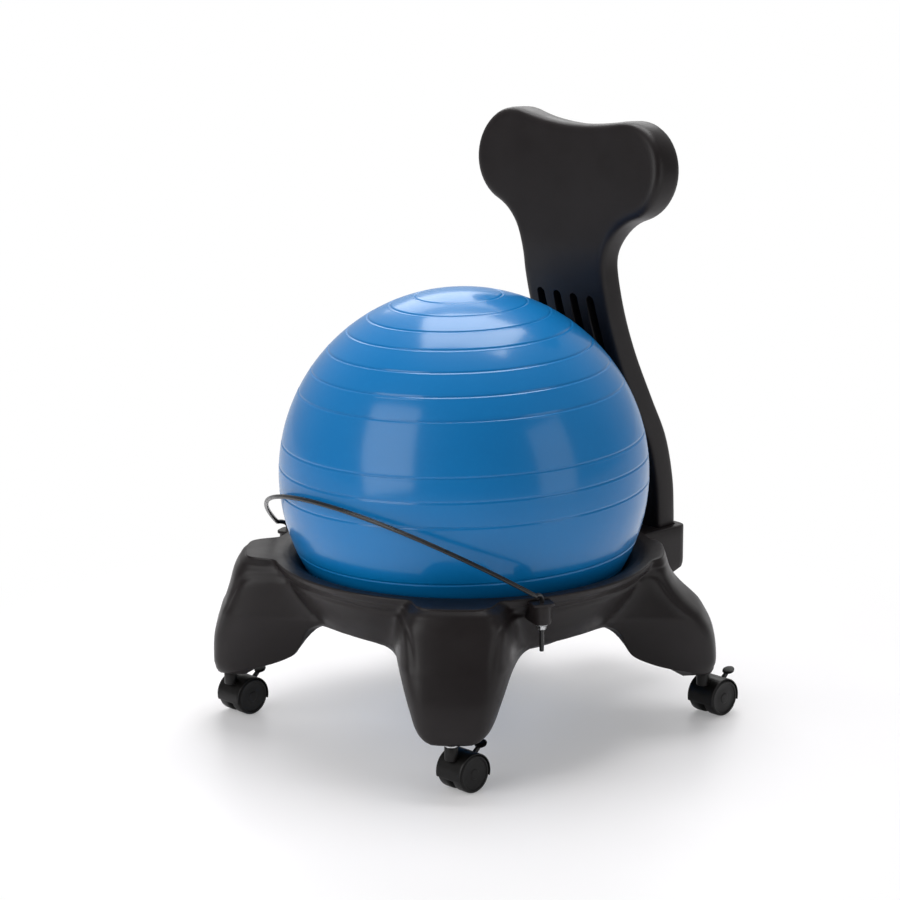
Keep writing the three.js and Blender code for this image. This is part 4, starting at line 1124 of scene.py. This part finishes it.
def hood_cuts():
    """Room for the two wheels, bores for stem, axle and pedal pin, and the pedal's slot."""
    pivot_y, pivot_z = PIVOT
    near, far = pivot_y - 4.5, pivot_y + 30
    return [cylinder(HOOD_INNER, 0, 30, 64, "x", (WEB / 2, TRAIL, WHEEL_RADIUS)),
            cylinder(HOOD_INNER, -30, 0, 64, "x", (-WEB / 2, TRAIL, WHEEL_RADIUS)),
            cylinder(SHANK + GAP, BOSS_TOP - 14.3, BOSS_TOP + 2),
            cylinder(AXLE_BORE, -45, 45, 24, "x", (0, TRAIL, WHEEL_RADIUS)),
            prism([(-2.5, near), (2.5, near), (2.5, far), (-2.5, far)],
                  [(pivot_z - 4.5, 0), (FOOT_HEIGHT, 0)]),
            cylinder(PIN_BORE, -8, 8, 20, "x", (0, pivot_y, pivot_z))]


def caster(leg):
    name = leg[0]
    place = stem_place(leg)
    swivel = name + "_swivel"
    node = "caster_" + name + "_"

    def at_leg(solids):
        return [moved(solid, place) for solid in solids]

    hood = joined(node + "hood", at_leg([hood_solid(), web_solid(), boss_solid()]),
                  at_leg(hood_cuts()))
    dress(hood, swivel, "caster_plastic", [node + "housing"], 35)
    stem = build(node + "pin", *moved(turned(stem_profile(), 40), place))
    dress(stem, swivel, "zinc_steel", [node + "stem"], 35)
    sleeve = build(node + "socket", *moved(turned(sleeve_profile(), 40), place))
    dress(sleeve, "chair", "caster_plastic", [node + "sleeve"], 35)
    for side, word in SIDES:
        wheel = build(node + "disc_" + word, *moved(wheel_solid(side), place))
        dress(wheel, name + "_wheel_" + word, "caster_wheel", [node + "wheel_" + word], 35)
    solids, cuts = pedal_solids()
    pedal = joined(node + "pedal", at_leg(solids), at_leg(cuts))
    dress(pedal, name + "_pedal", "caster_plastic", [node + "brake_pedal"], 35)


def carried_over():
    """Nodes whose own shape is right get their finish."""
    for name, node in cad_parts.items():
        if any(word in name for word in ("insert", "grip_ring", "axle", "brake_pin")):
            node.data.materials.clear()
            node.data.materials.append(FINISHES["zinc_steel"])


base_piece()
ball_piece()
plug_piece()
back_piece()
hoop_piece()
hoop_fixings()
backrest_fixings()
for one in LEGS:
    caster(one)
carried_over()


# Floor and backdrop. Distances in metres from the middle of the floor.
WHITE = (1, 1, 1, 1)
FADE_START = 0.55
FADE_END = 0.95
# How much plain white camera rays see near the chair, and glossy rays at most.
NEAR_WHITE = 0.24
GLOSSY_WHITE = 0.4
FLOOR_HALF = 9.0


def floor_material():
    """Pale floor that takes the shadows near the chair and runs out to plain white."""
    material, shader, place = new_material("pale_floor")
    far = add(place, "ShaderNodeVectorMath", {0: place}, operation="LENGTH").outputs["Value"]
    fade = add(place, "ShaderNodeMapRange", {
        "Value": far, "From Min": FADE_START, "From Max": FADE_END, "To Min": NEAR_WHITE},
        interpolation_type="SMOOTHSTEP")
    cloud = spread(noise(place, 1.4, 2.0), 0.0, 1.0)
    feed(shader, {
        "Base Color": blend_colours(cloud, (0.9, 0.885, 0.9), (0.94, 0.925, 0.94)),
        "Roughness": spread(noise(place, 6.0), 0.3, 0.36),
        "Specular IOR Level": 0.35})
    glow = add(place, "ShaderNodeEmission", {"Strength": 1.0, "Color": WHITE})
    path = add(place, "ShaderNodeLightPath", {}).outputs
    softened = combine("MULTIPLY", path["Is Glossy Ray"], GLOSSY_WHITE)
    seen = combine("MAXIMUM", path["Is Camera Ray"], softened)
    seen = combine("MAXIMUM", seen, path["Is Transmission Ray"])
    share = combine("MULTIPLY", seen, fade.outputs["Result"])
    mix_shaders(share, shader, glow, material.node_tree.nodes["Material Output"])
    return material


def floor_piece():
    mesh = bpy.data.meshes.new("floor")
    corners = [(x * FLOOR_HALF, y * FLOOR_HALF, 0) for x, y in ((-1, -1), (1, -1), (1, 1), (-1, 1))]
    mesh.from_pydata(corners, [], [(0, 1, 2, 3)])
    floor = new_object("floor", mesh)
    mesh.materials.append(floor_material())


# The world's base strength, and a slightly rising direction from front left to rear right.
WORLD_DIM = 0.13
AWAY = (-0.69, 0.69, 0.2)


def studio_world():
    """Plain white to camera and transmission rays, dimmer to glossy and diffuse rays."""
    world = bpy.data.worlds.new("studio")
    bpy.context.scene.world = world
    world.use_nodes = True
    world.node_tree.nodes.clear()
    output = world.node_tree.nodes.new("ShaderNodeOutputWorld")
    dim = add(output, "ShaderNodeBackground", {"Strength": WORLD_DIM, "Color": WHITE})
    white = add(output, "ShaderNodeBackground", {"Strength": 1.0, "Color": WHITE})
    path = add(output, "ShaderNodeLightPath", {}).outputs
    seen = combine("MAXIMUM", path["Is Camera Ray"], path["Is Transmission Ray"])
    place = add(output, "ShaderNodeTexCoord", {}).outputs["Generated"]
    away = add(place, "ShaderNodeVectorMath", {0: place, 1: AWAY}, operation="DOT_PRODUCT")
    spill = spread(away.outputs["Value"], 0.1, 0.75, -0.3, 0.8)
    mirrored = spread(away.outputs["Value"], 0.08, 0.42, 0.3, 0.98)
    backdrop = add(output, "ShaderNodeMix", {0: path["Is Glossy Ray"], 2: spill, 3: mirrored})
    share = combine("MAXIMUM", seen, backdrop.outputs[0])
    mix_shaders(share, dim, white, output)


def softbox(name, place, aim, width, height, power, roll=0.0):
    data = bpy.data.lights.new(name, "AREA")
    data.shape = "RECTANGLE"
    data.size = width
    data.size_y = height
    data.energy = power
    lamp = new_object(name, data)
    lamp.location = place
    turn = (Vector(aim) - Vector(place)).to_track_quat("-Z", "Y")
    lamp.rotation_euler = (turn.to_matrix() @ Matrix.Rotation(roll, 3, "Z")).to_euler()
    lamp.visible_camera = False


floor_piece()
studio_world()
softbox("top_box", (-0.3, 0.35, 2.1), (0, -0.05, 0.35), 1.3, 1.0, 29)
softbox("back_box", (-1.35, 1.3, 1.7), (0, -0.05, 0.3), 1.6, 1.0, 14)
softbox("left_window", (-0.05, -1.65, 1.0), (0, -0.05, 0.45), 1.0, 1.5, 14, radians(12))
softbox("right_window", (1.75, 0.35, 0.8), (0, -0.05, 0.4), 0.8, 1.3, 4)

bpy.context.scene.view_settings.view_transform = "Standard"

bpy.context.view_layer.update()
